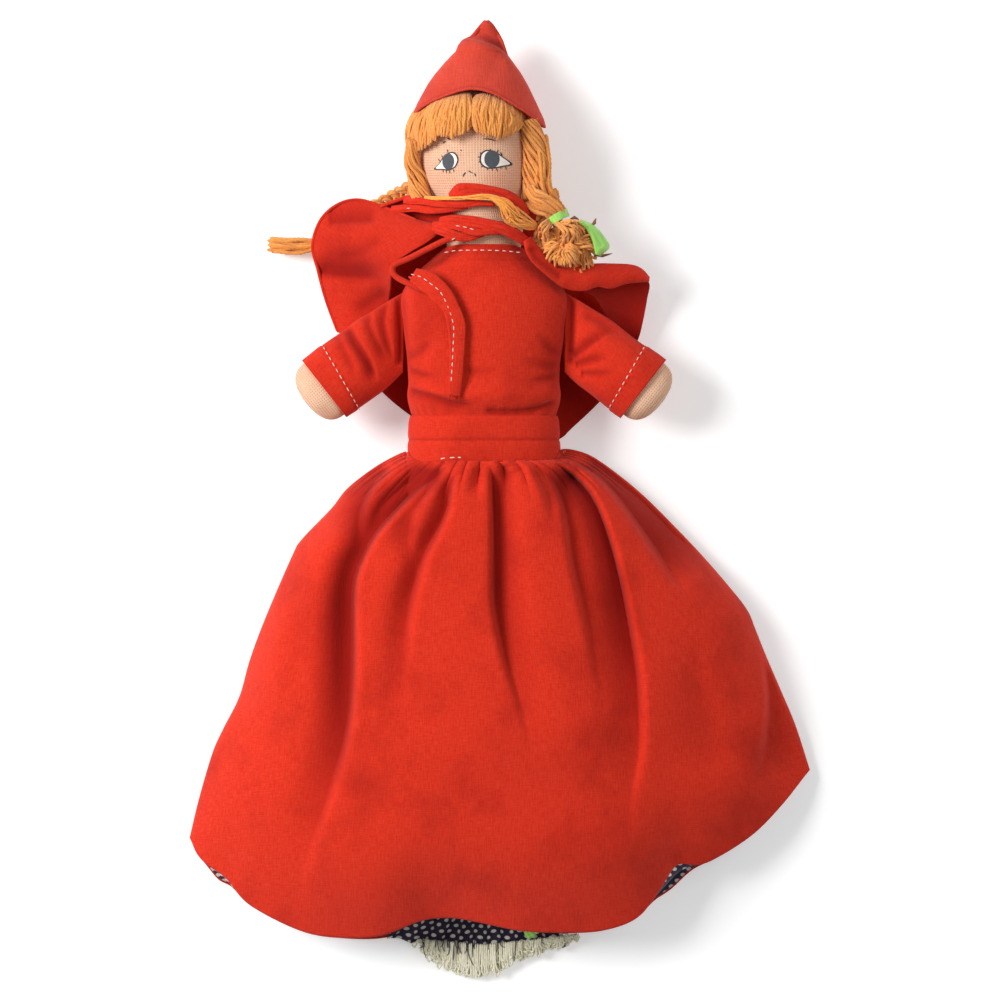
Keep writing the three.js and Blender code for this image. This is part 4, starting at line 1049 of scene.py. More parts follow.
# Each bunch of the fringe rolls forward over the brow and under again: where its strands start and end, how
# many there are, and how far they bow out at its two sides
FRINGE = {
    "left": ([(-22.5, 130.6, 0), (-17, 132.8, 0), (-11, 134.4, 0), (-7, 134.8, 0), (-5.0, 134.4, 0)],
             [(-27.6, 116.2, 0), (-24.6, 113.4, 0), (-20.5, 115.6, 0), (-17.0, 118.8, 0), (-11, 118.2, 0),
              (-5.4, 121.0, 0)], 156, (-2.6, 0.6)),
    "right": ([(-2.6, 133.8, 0), (0.4, 134.4, 0), (5, 133.4, 0), (9.5, 131.6, 0), (13.5, 128.8, 0)],
              [(-3.6, 121.6, 0), (-0.8, 119.8, 0), (4, 118.4, 0), (8.5, 118.4, 0), (13.6, 121.8, 0)],
              132, (-2.4, 1.6)),
}


def fringe_strand(rows, tops, ends, bows, s, t, wander, under):
    """A strand of a bunch: it leaves the cap, swells over the brow and rolls under past t = 1."""
    top, end = along(tops, s), along(ends, s) + wander
    plan = top + (end - top) * np.minimum(t, 2.02 - t)[:, None]
    bow = (bows[0] + (bows[1] - bows[0]) * s) * np.sin(np.clip(t, 0, 1) * math.pi)
    x, y = plan[:, 0] + bow, np.clip(plan[:, 1] - 0.25 * bow, HEAD_FOOT, HEAD_TOP - 0.3)
    roll = np.sin(np.clip(0.07 + 0.93 * t / 1.22, 0, 1) ** 0.85 * math.pi) ** 0.5
    puff = 2.0 + 3.4 * (4 * s * (1 - s)) ** 0.5
    z = on_face(rows, np.clip(x, -22.6, 14.6), y, 0.8) + (puff - under) * roll
    return np.column_stack([x, y, z - 1.1 * np.maximum(np.abs(x + 4) - 18.6, 0)])


def make_fringe(prefix, rows, doll):
    for place, (tops, ends, count, bows) in FRINGE.items():
        random = np.random.default_rng(5 if place == "left" else 6)
        t = np.linspace(0, 1.02, 30)
        body = np.array([fringe_strand(rows, tops, ends, bows, s, t, [0, 0.5, 0], 0.5)
                         for s in np.linspace(0, 1, 40)])
        flat = np.stack(np.meshgrid(np.linspace(0, 20, 40), np.linspace(0, 16, 30), indexing="ij"), -1)
        # Painted shade: the body under the strands is a little darker
        under = sheet(f"{prefix}_fringe_{place}_body", turned(body, doll), ORANGE_YARN, flat, thick=0.8,
                      under=doll, fold=np.full((40, 30), 0.12))
        sew_on(under, f"{prefix}_fringe_{place}")
        lines = []
        t = np.linspace(0, 1.22, 34)
        for k in range(count):
            s = np.clip((k + 0.5) / count + random.normal(0, 0.008), 0, 1)
            layer = k % 3
            wander = np.array([random.normal(0, 0.5), random.normal(0, 0.35) + 0.8 * layer, 0])
            strand = fringe_strand(rows, tops, ends, bows, s, t, wander, 0.45 * layer)
            lines.append(wavy(strand, 0.26, 100 + k))
        node = f"{prefix}_fringe_{place}"
        yarn_piece(node + "_strands", lines, node, "doll", 11, doll, 0.48)


# Side hair: a twisted rope down each side of the face, with its half width, strands and turns
SIDE_HAIR = {
    "left": ([(-26.0, 117.5, 28), (-26.3, 109, 25.4), (-24.8, 102, 25), (-22.6, 94.5, 26)],
             (2.2, 2.6, 3.3, 3.6), 2.8, 40, 0.5),
    "right": ([(16.6, 125.0, 28.4), (18.2, 117.5, 27.6), (19.2, 109, 26.4), (18.8, 101, 25.6),
               (18.4, 94.4, 26)],
              (3.2, 4.1, 4.5, 4.4, 4.2), 3.4, 56, 0.8),
}


def make_side_hair():
    for place, (guide, wide, thick, count, twist) in SIDE_HAIR.items():
        lines = bundle(guide, wide, thick, count, 17, twist=twist, jitter=0.3)
        yarn_piece(f"red_side_hair_{place}_strands", lines, f"red_side_hair_{place}", "doll", 12, half=0.55)


def make_back_hair(prefix, rows, doll):
    lines = []
    for k in range(60):
        angle = math.pi * (1.0 + (k + 0.5) / 60)
        y = np.linspace(134, 99, 40)
        turn = np.full(40, angle) + 0.05 * np.sin(y / 7 + k)
        lines.append(wavy(around_head(rows, y, turn, 1.1 + 0.9 * (k % 2)), 0.4, 300 + k))
    yarn_piece(f"{prefix}_back_hair_strands", lines, f"{prefix}_back_hair", "doll", 13, doll)


def bundle(guide, wide, thick, count, seed, twist=0.0, jitter=0.25):
    """Strands side by side along a guide line, in an oval bundle that may twist."""
    guide = route(guide, 0.7)
    across, lift = level_sides(directions(guide))
    wides = np.interp(np.linspace(0, 1, len(guide)), np.linspace(0, 1, np.size(wide)), np.atleast_1d(wide))
    random = np.random.default_rng(seed)
    t = np.linspace(0, 1, len(guide))
    lines = []
    for k in range(count):
        angle = 2.4 * k + random.normal(0, 0.2) + twist * t * math.tau
        share = math.sqrt((k + 0.5) / count)
        lines.append(wavy(guide + across * (wides * share * np.cos(angle))[:, None]
                          + lift * (thick * share * np.sin(angle))[:, None], jitter, seed * 50 + k))
    return lines


def make_right_plait():
    crossings = [
        ([(20.6, 119, 27.5), (21.2, 110, 28.0), (21.8, 102, 28), (23.6, 96.5, 27.4), (27, 92, 26.4),
          (29.4, 88.6, 26)],
         (2.6, 3.0, 3.0, 2.4, 2.0), 2.0, 13, 21),
        ([(16.6, 99.5, 29.6), (18.4, 96.6, 31.4), (22, 95.0, 31.8), (25.8, 92.4, 30.4), (28.6, 89.2, 28.6)],
         (1.6, 2.4, 2.2, 1.6), 1.3, 10, 22),
        ([(16.6, 94.6, 29.6), (18.8, 92.0, 31.2), (22.4, 90.6, 31.4), (26, 88.8, 30), (28.4, 87.2, 28.6)],
         (1.4, 2.0, 1.8, 1.4), 1.2, 9, 23),
        ([(25.2, 99, 26), (25.6, 95, 25.6), (22.6, 90.0, 25.8), (20.4, 86.6, 26.4)], (1.8, 2.0, 1.8),
         1.5, 8, 24),
    ]
    lines = []
    for guide, wide, thick, count, seed in crossings:
        lines += bundle(guide, wide, thick, count, seed)
    yarn_piece("plait_right_strands", lines, "red_plait_right", "plait_right", 21, half=0.7)


# Ends of the tassel's strands, round it from the left, and the tie that they come from
TASSEL_RIM = [(18.6, 80.9, 27), (21.2, 77.4, 26), (23.6, 73.0, 25.4), (26.4, 69.9, 25.4), (29.6, 69.6, 25.4),
              (32.6, 67.4, 25.2), (36.0, 67.6, 25), (38.8, 70.4, 24.6), (40.9, 72.4, 24.4),
              (41.2, 76.4, 24.4), (40.4, 80.4, 24.6), (38.4, 84.0, 25)]
TASSEL_TIE = np.array([26.8, 86.4, 27.6])


def make_right_tassel():
    random = np.random.default_rng(31)
    lines = []
    count = 104
    for k in range(count):
        s = (k + 0.5) / count
        end = along(TASSEL_RIM, s) + random.normal(0, 0.6, 3)
        layer = k % 4
        end = TASSEL_TIE + (end - TASSEL_TIE) * (1.03 - 0.16 * layer)
        start = TASSEL_TIE + np.array([5.0 * s - 3.0, 1.2 - 2.0 * s, 0.8 * layer]) + random.normal(0, 0.4, 3)
        middle = (start + end) / 2
        level = np.array([end[1] - start[1], start[0] - end[0], 0])
        away = level * (-0.22 - 0.05 * layer) * (1 if s > 0.3 else -0.8)
        middle = middle + away + [0, 0, 1.6 + 2.3 * layer]
        near = end + (middle - end) * 0.3 + [0, 0, -0.6]
        curl = end + (start - end) * 0.16 + [random.normal(0, 1.0), random.normal(0, 0.6), 1.6]
        lines.append(wavy(route([start, middle, near, end, curl], 0.7), 0.35, 400 + k))
    for k in range(120):
        turn = 2.4 * k + random.normal(0, 0.2)
        share = 0.28 + 0.74 * ((k * 0.618) % 1.0) ** 0.6
        reach = np.array([11.6 * math.cos(turn), 10.2 * math.sin(turn), 0])
        knot = np.array([29.4, 79.6, 29.4]) + random.normal(0, 0.5, 3)
        rim = np.array([30.6, 76.8, 0]) + reach * share + [0, 0, 33.4 - 4.6 * share**2]
        end = rim + random.normal(0, 0.5, 3)
        middle = knot + (end - knot) * 0.55 + [0, 0, 2.2] + random.normal(0, 0.4, 3)
        lines.append(wavy(route([knot, middle, end], 0.7), 0.4, 600 + k))
    turn = np.linspace(0, math.tau, 40, endpoint=False)[None]
    rise = np.linspace(-1.45, 1.45, 16)[:, None]
    blob = np.stack([29.6 + 7.0 * np.cos(rise) * np.cos(turn), 77.6 + 6.0 * np.cos(rise) * np.sin(turn),
                     26.6 + 3.2 * np.sin(rise) + 0 * turn], -1)
    flat = np.stack(np.broadcast_arrays(turn * 8, rise * 9), -1)
    core = form("tassel_right_core", blob, ORANGE_YARN, flat, strand=np.full((16, 40), 0.1))
    sew_on(core, "red_tassel_right", "plait_right")
    yarn_piece("tassel_right_loops", lines, "red_tassel_right", "plait_right", 25, half=0.48)


def make_left_plait():
    guide = route([(-24, 102, 15), (-30, 97, 10.5), (-44, 89.5, 6.5), (-59, 81, 5.6)], 0.7)
    across = np.cross(directions(guide), [0, 0, 1.0])
    t = np.linspace(0, 1, len(guide))
    lines = []
    for part in range(3):
        phase = t * 4 * math.tau + part * math.tau / 3
        middle = guide + across * (2.4 * np.sin(phase))[:, None]
        middle[:, 2] += 1.5 * np.sin(2 * phase)
        for k in range(4):
            turn = k * math.tau / 4 + phase * 0.4
            around = across * np.cos(turn)[:, None] + np.array([0, 0, 1.0]) * np.sin(turn)[:, None]
            lines.append(middle + 0.9 * around)
    yarn_piece("plait_left_strands", lines, "red_plait_left", "plait_left", 26)
    random = np.random.default_rng(33)
    lines = []
    for k in range(13):
        drop = -2.6 + 5.2 * (k % 7) / 6
        z = 4.6 + 1.3 * (k // 7) + random.normal(0, 0.2)
        lines.append(wavy(route([(-60, 78.6 + 0.4 * drop, z), (-67, 78 + 0.8 * drop, z),
                                 (-80.4 + random.uniform(0, 3.2), 78.2 + drop, z - 0.4)], 0.8), 0.3, 500 + k))
    yarn_piece("tassel_left_ends", lines, "red_tassel_left", "plait_left", 27, half=0.66)


def make_loose_yarn():
    """Yarn that has worked loose and lies over the neck strips."""
    lines = bundle([(-22, 95.8, 31), (-14, 95.2, 36.2), (-6, 95.6, 38.6), (0, 96.2, 39.2), (5, 95.0, 39),
                    (8, 92.4, 38)], (0.3, 0.5, 0.6, 0.8, 1.2), 0.4, 5, 41, jitter=0.3)
    lines += bundle([(2.5, 95.8, 39), (6.5, 93.6, 38.8), (9.6, 90.4, 37.8), (13, 87.8, 36.2),
                     (19.4, 85.0, 31.6)],
                    (0.6, 1.9, 3.3, 2.8, 1.0), 0.8, 30, 42, jitter=0.5)
    lines += bundle([(6, 94.4, 38.6), (9, 90.6, 38.4), (10.6, 86.4, 37.0)], (0.6, 1.6, 2.2),
                    0.6, 12, 43, jitter=0.5)
    made = tubes("loose_yarn_strands", lines, 0.34, LOOSE_YARN, sides=6, seed=28)
    sew_on(made, None)


# Ribbons

def make_ribbons():
    over = [(22.6, 85.6, 27.4), (25, 87.2, 31.4), (28.4, 89.2, 31.2), (31, 90.2, 27.2)]
    band = strap("ribbon_right_band", over, 1.5, GREEN_SATIN, RIBBON)
    near = [(34.6, 86.6, 30.4), (37.6, 84.4, 31.6), (40.0, 80, 31.8), (41.2, 74.8, 30.0)]
    far = [(36.0, 87.8, 28.6), (40.6, 85.6, 28.6), (44.6, 81.4, 28.0), (46.5, 77.4, 27.2), (43.0, 74.0, 27.2)]
    loop = ruled("ribbon_right_loop", near, far, GREEN_SATIN, 40, 18, bulge=1.5, lumps=0.4, thick=RIBBON,
                 creases=[([(36, 86.6), (41, 82.6), (43.6, 77)], 0.9, 0.8, 1.4, (0.1, 0.9))])
    worn = [[(39.6, 85.0, 27.4), (40.9, 86.4, 27.6), (41.5, 88.1, 27.2)],
            [(41.0, 74.2, 26), (44, 74.2, 26), (47.6, 75.1, 25.6)],
            [(31.4, 87.6, 27), (33.6, 88.4, 27.2), (35.2, 87.6, 26.8)]]
    tail = tubes("ribbon_right_ends", worn, 0.55, BROWN_TAPE, ply=0.3, pitch=2.0)
    over = [(-60, 83, 4.5), (-60.6, 80.6, 8.6), (-61.4, 77, 8.4), (-61.8, 74.8, 4.5)]
    left = strap("ribbon_left_band", over, 1.3, GREEN_SATIN, RIBBON)
    for made in (band, loop, tail):
        sew_on(made, "red_ribbon_right", "plait_right")
    sew_on(left, "red_ribbon_left", "plait_left")


# Cap: a cone whose tip bends back behind a fold

CAP_LEFT = [(126.6, -25.6), (130, -24.2), (133, -22.6), (137.5, -20.1), (141, -17.6), (145, -14.2),
            (148, -11.4), (149.4, -9.9), (151.8, -9.0), (153.6, -7.6), (155.0, -4.6), (156.6, -3.2),
            (158.6, -1.6), (160.4, 0.0), (161.0, 0.6)]
CAP_RIGHT = [(121.4, 22.4), (124.5, 21.6), (127.5, 20.2), (132, 18.1), (137, 15.7), (141.5, 13.1),
             (145.4, 10.3), (148, 8.4), (150.5, 7.6), (153.5, 6.6), (156.5, 5.0), (159.5, 3.0), (161.0, 1.4)]
CAP_BRIM = [(-25.6, 126.6), (-23, 129.2), (-20, 131.2), (-15, 133.2), (-10, 134.8), (-5, 135.6), (0, 135.3),
            (5, 134.1), (9, 132.4), (13, 130), (17, 127), (20, 124), (22.4, 121.4)]
CAP_FOLD = [(-9.8, 152.6), (-7.4, 153.9), (-4, 153.6), (0, 152.8), (4, 151.1), (8.6, 148.2)]


def make_cap():
    u = np.linspace(0, math.tau, 220, endpoint=False)[:, None]
    t = np.linspace(0, 1, 110)[None]
    side, front = np.cos(u), np.sin(u)
    brim = np.interp(-1.6 + 24.0 * side, *np.transpose(CAP_BRIM))
    foot = np.where(side < 0, 126.6, 121.4)
    brim = np.where(front > 0, brim, foot + (brim - foot) * 0.35)
    y = brim + t * (161.0 - brim)
    left = np.interp(y, *np.transpose(CAP_LEFT))
    right = np.interp(y, *np.transpose(CAP_RIGHT))
    middle, half = (left + right) / 2, (right - left) / 2
    x = middle + half * side
    deep = 19.0 * np.clip(half / 24.0, 0, 1) ** 1.1 + 0.5
    z = BODY_Z + 1.6 * (1 - t) + deep * front
    past = y - np.interp(x, *np.transpose(CAP_FOLD))
    over = smoothstep(front, 0.0, 0.35)
    roll = 1.5 * swell(past, -2.2, 2.6)
    z = z + over * (roll - 3.6 * smoothstep(past, -0.5, 0.5) * (1 - smoothstep(past, 3, 9)))
    dents = crease(x, y, [(6, 150), (4, 143), (-2, 137)], 0.7, 4.0, 3.0, (0.1, 0.6))
    z = z - dents * over + 0.4 * crumple(x, y, 19, 0.4) * smoothstep(t, 0.03, 0.2) * over
    z = z + 0.5 * swell(y, brim, 0.5) * over
    grid = np.stack([x, y, z], -1)
    # Painted shade just behind the fold over the tip, on its right, and in a thin band above the brim
    shade = 0.85 * swell(past, 1.3, 1.5) * over * smoothstep(x, -5, 3) + 0.4 * swell(y - brim, 1.0, 0.4)
    made = sheet("pointed_cap_cloth", grid, FADED_COTTON, grid[..., :2], thick=0.7, wrap=True,
                 fold=np.clip(shade, 0, 0.85))
    sew_on(made, "red_pointed_cap")


# Cape: flat under the back, its front corners spread out beside the neck, its bindings and its tie

CAPE_EDGE = [(-29.0, 90), (-33, 84), (-42, 80), (-50, 72), (-54, 60), (-53.4, 46), (-47, 36), (-38.5, 24.7),
             (-27, 15), (-15, 8), (0, 5), (15, 4.5), (27, 6), (33, 10.8), (44, 21.5), (52, 33), (56.4, 44.8),
             (57, 56), (54, 63), (41.4, 68), (32, 74), (25, 84), (20, 95), (6, 98), (-8, 99), (-20, 101),
             (-26.4, 96)]

# Cloths of the cape's front corners: name, area and size of the cut, near edge, far edge and looks; their
# shade is painted shade, most on the right lobe, which lies low
CAPE_CLOTHS = [
    ("cape_left_lobe", 0.0019, (0.06, 0.05),
     [(-15, 84.6, 31), (-20.6, 79.6, 31.6), (-27, 75.6, 30.6), (-33, 71.4, 27.5), (-34, 67, 26),
      (-34.5, 61, 20), (-36, 52, 14), (-38, 44, 11)],
     [(-17.4, 85.6, 29.6), (-25, 87.4, 26), (-36, 91.8, 20), (-46, 94.9, 16.5), (-54, 93.2, 14.5),
      (-60.4, 87.4, 13), (-63.4, 78, 12), (-61.4, 69, 10.5), (-58.4, 58, 8.5), (-54, 46, 6.5)],
     dict(rows=130, columns=60, bulge=2.2, lumps=0.9, shade=0.16,
          creases=[([(-64, 70), (-54, 68), (-43, 67.4), (-33, 66)], 2.4, 2.4, 6.5, (0.2, 0.6)),
                   ([(-36, 82), (-42, 77), (-50, 74.6), (-58, 75)], 0.8, 3.0, 2.0, (0.2, 0.6)),
                   ([(-34, 62), (-42, 57), (-50, 52)], 1.2, 3.0, 2.4, (0.2, 0.6)),
                   ([(-58, 86.5), (-48, 86.8), (-38, 87.4)], 1.4, 1.4, 5.0, (0.1, 0.8))])),
    ("cape_right_lobe", 0.0007, (0.045, 0.03),
     [(17, 75, 31), (24, 68, 30), (30, 64.4, 27), (36, 62, 24), (42, 58, 18), (46, 50, 12), (48, 42, 8)],
     [(22, 76, 27), (32, 72, 23), (45, 68, 20), (55, 66.6, 17.5), (61, 64.4, 15.5), (60.4, 58, 12.5),
      (58, 46.6, 8.5), (56.4, 42, 7)], dict(rows=90, columns=40, bulge=-1.5, lumps=0.5, shade=0.8)),
    ("cape_right_band", 0.00055, (0.055, 0.012),
     [(14.6, 79.6, 34.6), (15.4, 76.0, 35.4), (17.8, 71.8, 35.6), (22.6, 67.4, 34), (28.2, 63.0, 31),
      (32.5, 61.4, 28.6), (37.5, 61.2, 26.6), (42, 62.6, 25), (47, 62.0, 23.4), (53, 63.8, 21.4),
      (61.2, 64.6, 18)],
     [(17.6, 81.4, 31.6), (19.4, 78.6, 31), (23.6, 74.4, 29.6), (29, 71.4, 27), (35, 70.6, 24.6),
      (41, 71.4, 22.8), (47.6, 71.4, 21.6), (54.6, 71.0, 20.0), (58.6, 69.4, 18.8), (61.4, 66.4, 17.6)],
     dict(rows=120, columns=26, bulge=2.1, lumps=0.7,
          creases=[([(17, 78), (19.5, 73.5), (24.5, 69.4), (30.5, 65.4)], 1.4, 1.6, 1.6, (0.1, 0.8))])),
]

# Rolled edges of the cape: name, line and half width
CAPE_ROLLS = [
    ("cape_left_roll", [(-9, 81.0, 34.4), (-14, 80.0, 34.8), (-20.4, 77.0, 34.8), (-27, 73.6, 33.2),
                        (-32.4, 71.2, 30), (-33.8, 69.2, 29), (-32.6, 66.6, 30), (-28, 64.0, 32.6),
                        (-22, 61.6, 34.6), (-17, 60.0, 35.8)], 1.15),
    ("cape_left_hem", [(-25, 87.4, 26.6), (-36, 91.8, 20.6), (-46, 94.9, 17), (-54, 93.2, 15),
                       (-60.4, 87.4, 13.5), (-63.4, 78, 12.5), (-61.4, 69, 11), (-58.4, 58, 9), (-54, 46, 7)],
     0.6),
    ("cape_collar_edge", [(-38.4, 92.4, 20.6), (-33.4, 94.2, 21.8), (-27, 96.0, 24), (-20, 94.6, 28),
                          (-13, 93.4, 33)], 0.7),
]


def inside_outline(outline, rings):
    """Rings of places from an outline in to its middle."""
    middle = outline.mean(0)
    return middle + (outline[:, None] - middle) * np.linspace(1, 0.02, rings)[None, :, None]


def bends_from(made):
    """Bakes a piece's place into its points."""
    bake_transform(made)


def cape_piece(made):
    sew_on(made, "cape", None)
    bends_from(made)


def make_cape():
    edge = closed_curve(CAPE_EDGE, 10)
    plan = inside_outline(edge, 60)
    x, y = plan[..., 0], plan[..., 1]
    left = smoothstep(-x, 30, 48) * smoothstep(y, 40, 62)
    right = smoothstep(x, 30, 48) * smoothstep(y, 40, 60)
    nape = smoothstep(y, 58, 76) * (1 - smoothstep(np.abs(x), 16, 30)) * (1 - 0.5 * smoothstep(y, 80, 88))
    z = 1.0 + 4.0 * left + 5.0 * right + 3.5 * nape + 0.6 * crumple(x, y, 20, 0.8)
    grid = np.stack([x, y, z], -1)
    # Painted shade on the sides below the arms and towards the neck
    fold = 0.6 * (smoothstep(-x, 20, 27) + smoothstep(x, 20, 27)) * (1 - smoothstep(y, 30, 44))
    fold = fold + 0.6 * smoothstep(y, 70, 80)
    made = sheet("cape_back_cloth", grid, RED_COTTON, plan, thick=0.6, wrap=True, under=1, fold=fold)
    cape_piece(made)
    for name, area, cut, near, far, looks in CAPE_CLOTHS:
        cape_piece(ruled(name, near, far, RED_COTTON, **looks))
    # Painted shade on the inside of the collar
    inside = ruled("cape_collar_inside",
                   [(-38.4, 92.4, 20), (-33.4, 94.2, 21), (-27, 96.0, 23), (-20, 94.6, 26), (-14, 92.6, 30),
                    (-11, 90, 32)],
                   [(-36, 91.0, 19), (-30, 88.6, 20), (-24, 86.6, 22), (-19, 85.0, 25.6), (-15.4, 84.2, 30),
                    (-12, 84, 32.4)],
                   RED_COTTON, 60, 16, bulge=-1.6, lumps=0.3, shade=0.7)
    sew_on(inside, "cape")
    for name, line, half in CAPE_ROLLS:
        made = tubes(name, [route(line, 0.5)], half, RED_COTTON, sides=10, ply=0.0)
        sew_on(made, "cape")


# Neck strips: line, half widths and tilt
STRIPS = [
    ("binding_upper_left", "cape_binding_upper",
     [(-29, 94.6, 24), (-22, 94.3, 29.6), (-16, 93.6, 33.4), (-8, 93.2, 36.0), (-2, 93.6, 36.8),
      (4, 93.2, 36.6)],
     (1.2, 1.3, 1.2, 0.9, 0.8, 0.2), 0.5),
    ("binding_upper_fold", "cape_binding_upper",
     [(-34, 91.2, 21.5), (-26, 91.8, 26), (-20, 91.2, 29.6), (-13, 91.6, 33.4), (-6, 92.4, 35)],
     (1.1, 1.2, 1.0, 0.9, 0.3), 0.2),
    ("binding_lower_strip", "cape_binding_lower",
     [(-16, 87.4, 31.6), (-12, 87.6, 33.6), (-6, 87.0, 35.2), (0, 86.0, 35.9), (6, 84.6, 35.6),
      (11, 82.4, 34.2), (15.6, 79.6, 31.6)], (0.8, 1.5, 1.7, 1.7, 1.8, 1.9, 1.6), 0.3),
    ("binding_lower_twist", "cape_binding_lower",
     [(-18.6, 85.8, 31), (-13, 85.4, 34.2), (-8, 84.4, 35.8), (-3, 83.0, 36.2), (2, 83.2, 35.6),
      (8, 82.8, 34.2)],
     (0.8, 1.2, 1.3, 1.2, 1.0, 0.3), 0.7),
    ("binding_lower_end", "cape_binding_lower",
     [(-18.4, 84.6, 31.4), (-14, 83.0, 34.6), (-9.6, 81.4, 35.6), (-5.6, 81.2, 35.2), (0, 82.2, 34.4)],
     (1.4, 1.6, 1.3, 1.0, 0.3), -0.3),
]


def make_strips():
    for name, node, line, half, tilt in STRIPS:
        made = strap(name, line, half, RED_COTTON, thick=0.6, tilt=(tilt, tilt * 0.4, tilt),
                     cup=0.5, wrinkle=0.4)
        sew_on(made, node)
    # Its creases are also painted shade
    upper = ruled("binding_upper_strip",
                  [(-12.8, 97.0, 33.4), (-10, 100.3, 34.6), (-7, 100.8, 35.6), (-2, 100.5, 36.2),
                   (3, 99.6, 36.2), (7, 98.7, 35.6), (10, 97.6, 34.6), (13, 95.6, 33), (15.2, 93, 31.4),
                   (16.6, 90.4, 29.6)],
                  [(-12.6, 96.2, 34.2), (-9, 96.0, 36.6), (-4, 96.0, 38), (0, 96.4, 38.4), (4, 96.0, 38.2),
                   (8, 94.8, 37.4), (11, 93.2, 36), (14, 90.8, 33.6), (16, 89.2, 31.2)],
                  RED_COTTON, 90, 26, bulge=0.9, lumps=0.3,
                  creases=[([(-10, 98.6), (-3, 98.8), (4, 97.8), (10, 95.8)], 0.9, 0.7, 0.5, (0.1, 0.9)),
                           ([(-8, 97.2), (0, 97.6), (6, 96.6), (12, 93.6)], 0.6, 0.5, 0.5, (0.1, 0.9))])
    sew_on(upper, "cape_binding_upper")
    dashes = [[(-10.4, 85.4, 36.6), (-6, 84.6, 37.4), (-1.6, 83.0, 37.4)],
              [(-31, 91.6, 24.4), (-25.6, 91.9, 27.6)],
              [(-14.6, 75.4, 33.4), (-10.6, 76.1, 34.2), (-4, 76.3, 35.0), (4, 76.2, 35.0), (9, 75.9, 34.2),
               (13.6, 75.4, 33.0)],
              [(-12, 80.0, 36.4), (-10, 81.2, 36.8)]]
    for k, line in enumerate(dashes):
        made = stitch_row(f"neck_stitches_{k}", line)
        sew_on(made, None)


def make_waist_threads():
    """White gathering thread that shows in three short bits at the top of the skirt."""
    bits = [[(-16.0, -0.9, 38.0), (-14.4, -0.6, 38.4)], [(-12.6, -0.5, 38.6), (-10.8, -0.4, 38.8)],
            [(-9.6, -0.3, 38.9), (-8.4, -0.5, 38.9)]]
    lines = [route(bit, 0.3) for bit in bits]
    made = tubes("waist_gathering_thread", lines, 0.2, STITCHES, sides=6, ply=0.05)
    sew_on(made, None)


def make_tie():
    half = (2.6, 4.0, 3.8, 2.9, 3.3, 2.8, 2.4, 2.3, 2.2)
    line = [(-26, 67.0, 33.4), (-21.6, 65.0, 35.2), (-17.2, 61.4, 36.6), (-12.8, 56, 37.2),
            (-10.3, 49.5, 37.3), (-9.9, 42, 37.2), (-10.1, 34, 37.2), (-10.6, 27, 37.2), (-11.2, 22.4, 37.0)]
    strip = strap("tie_end_strip", line, half, RED_COTTON, thick=0.6, tilt=(0.25, 0.1, -0.05, 0.0, 0.0),
                  cup=0.5)
    left = route([(x - w * 0.72, y - 0.5, z + 0.35) for (x, y, z), w in zip(line, half)], 0.5)
    hem = tubes("tie_end_hem", [left], 0.55, RED_COTTON, ply=0.0)
    seam = stitch_row("tie_stitches", [(-27, 67.4, 34.6), (-23.4, 66.4, 36), (-19.6, 63.8, 37.2),
                                       (-15.8, 60.4, 38), (-12.8, 54, 38.2),
                                       (-11.2, 48, 38.3), (-11.4, 40, 38.2), (-11.8, 32, 38.2),
                                       (-12.2, 26, 38.1)])
    random = np.random.default_rng(44)
    threads = [[(-13 + 0.55 * k, 23.4, 37.2), (-13 + 0.5 * k + random.normal(0, 0.3), 22.0, 37.3),
                (-13.4 + 0.62 * k, 21.2 + random.uniform(-0.8, 0.6), 37.0)] for k in range(9)]
    lines = [route(line, 0.4) for line in threads]
    frayed = tubes("tie_frayed_threads", lines, 0.14, RED_COTTON, sides=5, ply=0)
    for made in (strip, hem, seam, frayed):
        sew_on(made, "cape_tie_end", None)
        bends_from(made)


# Hidden doll's cap: crown gathered behind the head by a ribbon, with a frill and lace past the hem

def make_hidden_crown():
    u = np.linspace(0, math.tau, 160, endpoint=False)[:, None]
    t = np.linspace(0, 1, 60)[None]
    y = 117.6 + t * 43.0 + 0 * u
    wide = (24.0 - 5.0 * t - 8 * t ** 6) + 0.5 * np.sin(u * 24) * t
    deep = (19.4 - 12.5 * t ** 1.6) + 0.4 * np.sin(u * 24) * t
    grid = np.stack([wide * np.cos(u), -y, BODY_Z + 1.4 - 7.5 * t ** 2 + deep * np.sin(u)], -1)
    flat = np.stack([u * 22 + 0 * t, y], -1)
    made = sheet("hidden_cap_crown_cloth", grid, DOTS, flat, thick=0.6, wrap=True, under=1)
    sew_on(made, "hidden_cap_crown")


def make_frill():
    s = np.linspace(-1, 1, 260)[:, None]
    t = np.linspace(0, 1, 36)[None]
    y = -(159.5 + t * (22.8 + 0.4 * np.sin(s * 23) - 1.0 * s**2 - 3.2 * smoothstep(-s, 0.35, 1)))
    x = -2.0 + 2.0 * (1 - t) + (15.0 + 19.0 * t**0.8) * s + 0.4 * t * np.sin(s * 37)
    z = 5.2 - 2.0 * t + 0.9 * np.sin(s * 30 + 2 * np.sin(s * 5)) * (0.35 + 0.65 * t) * (1 - 0.3 * t)
    flat = np.stack([(5.0 + 31.5 * s) * 1.25 + 0 * t, 24 * t + 0 * s], -1)
    made = sheet("hidden_frill_cloth", np.stack([x, y, z], -1), DOTS, flat, thick=0.5, under=1)
    sew_on(made, "hidden_cap_frill")


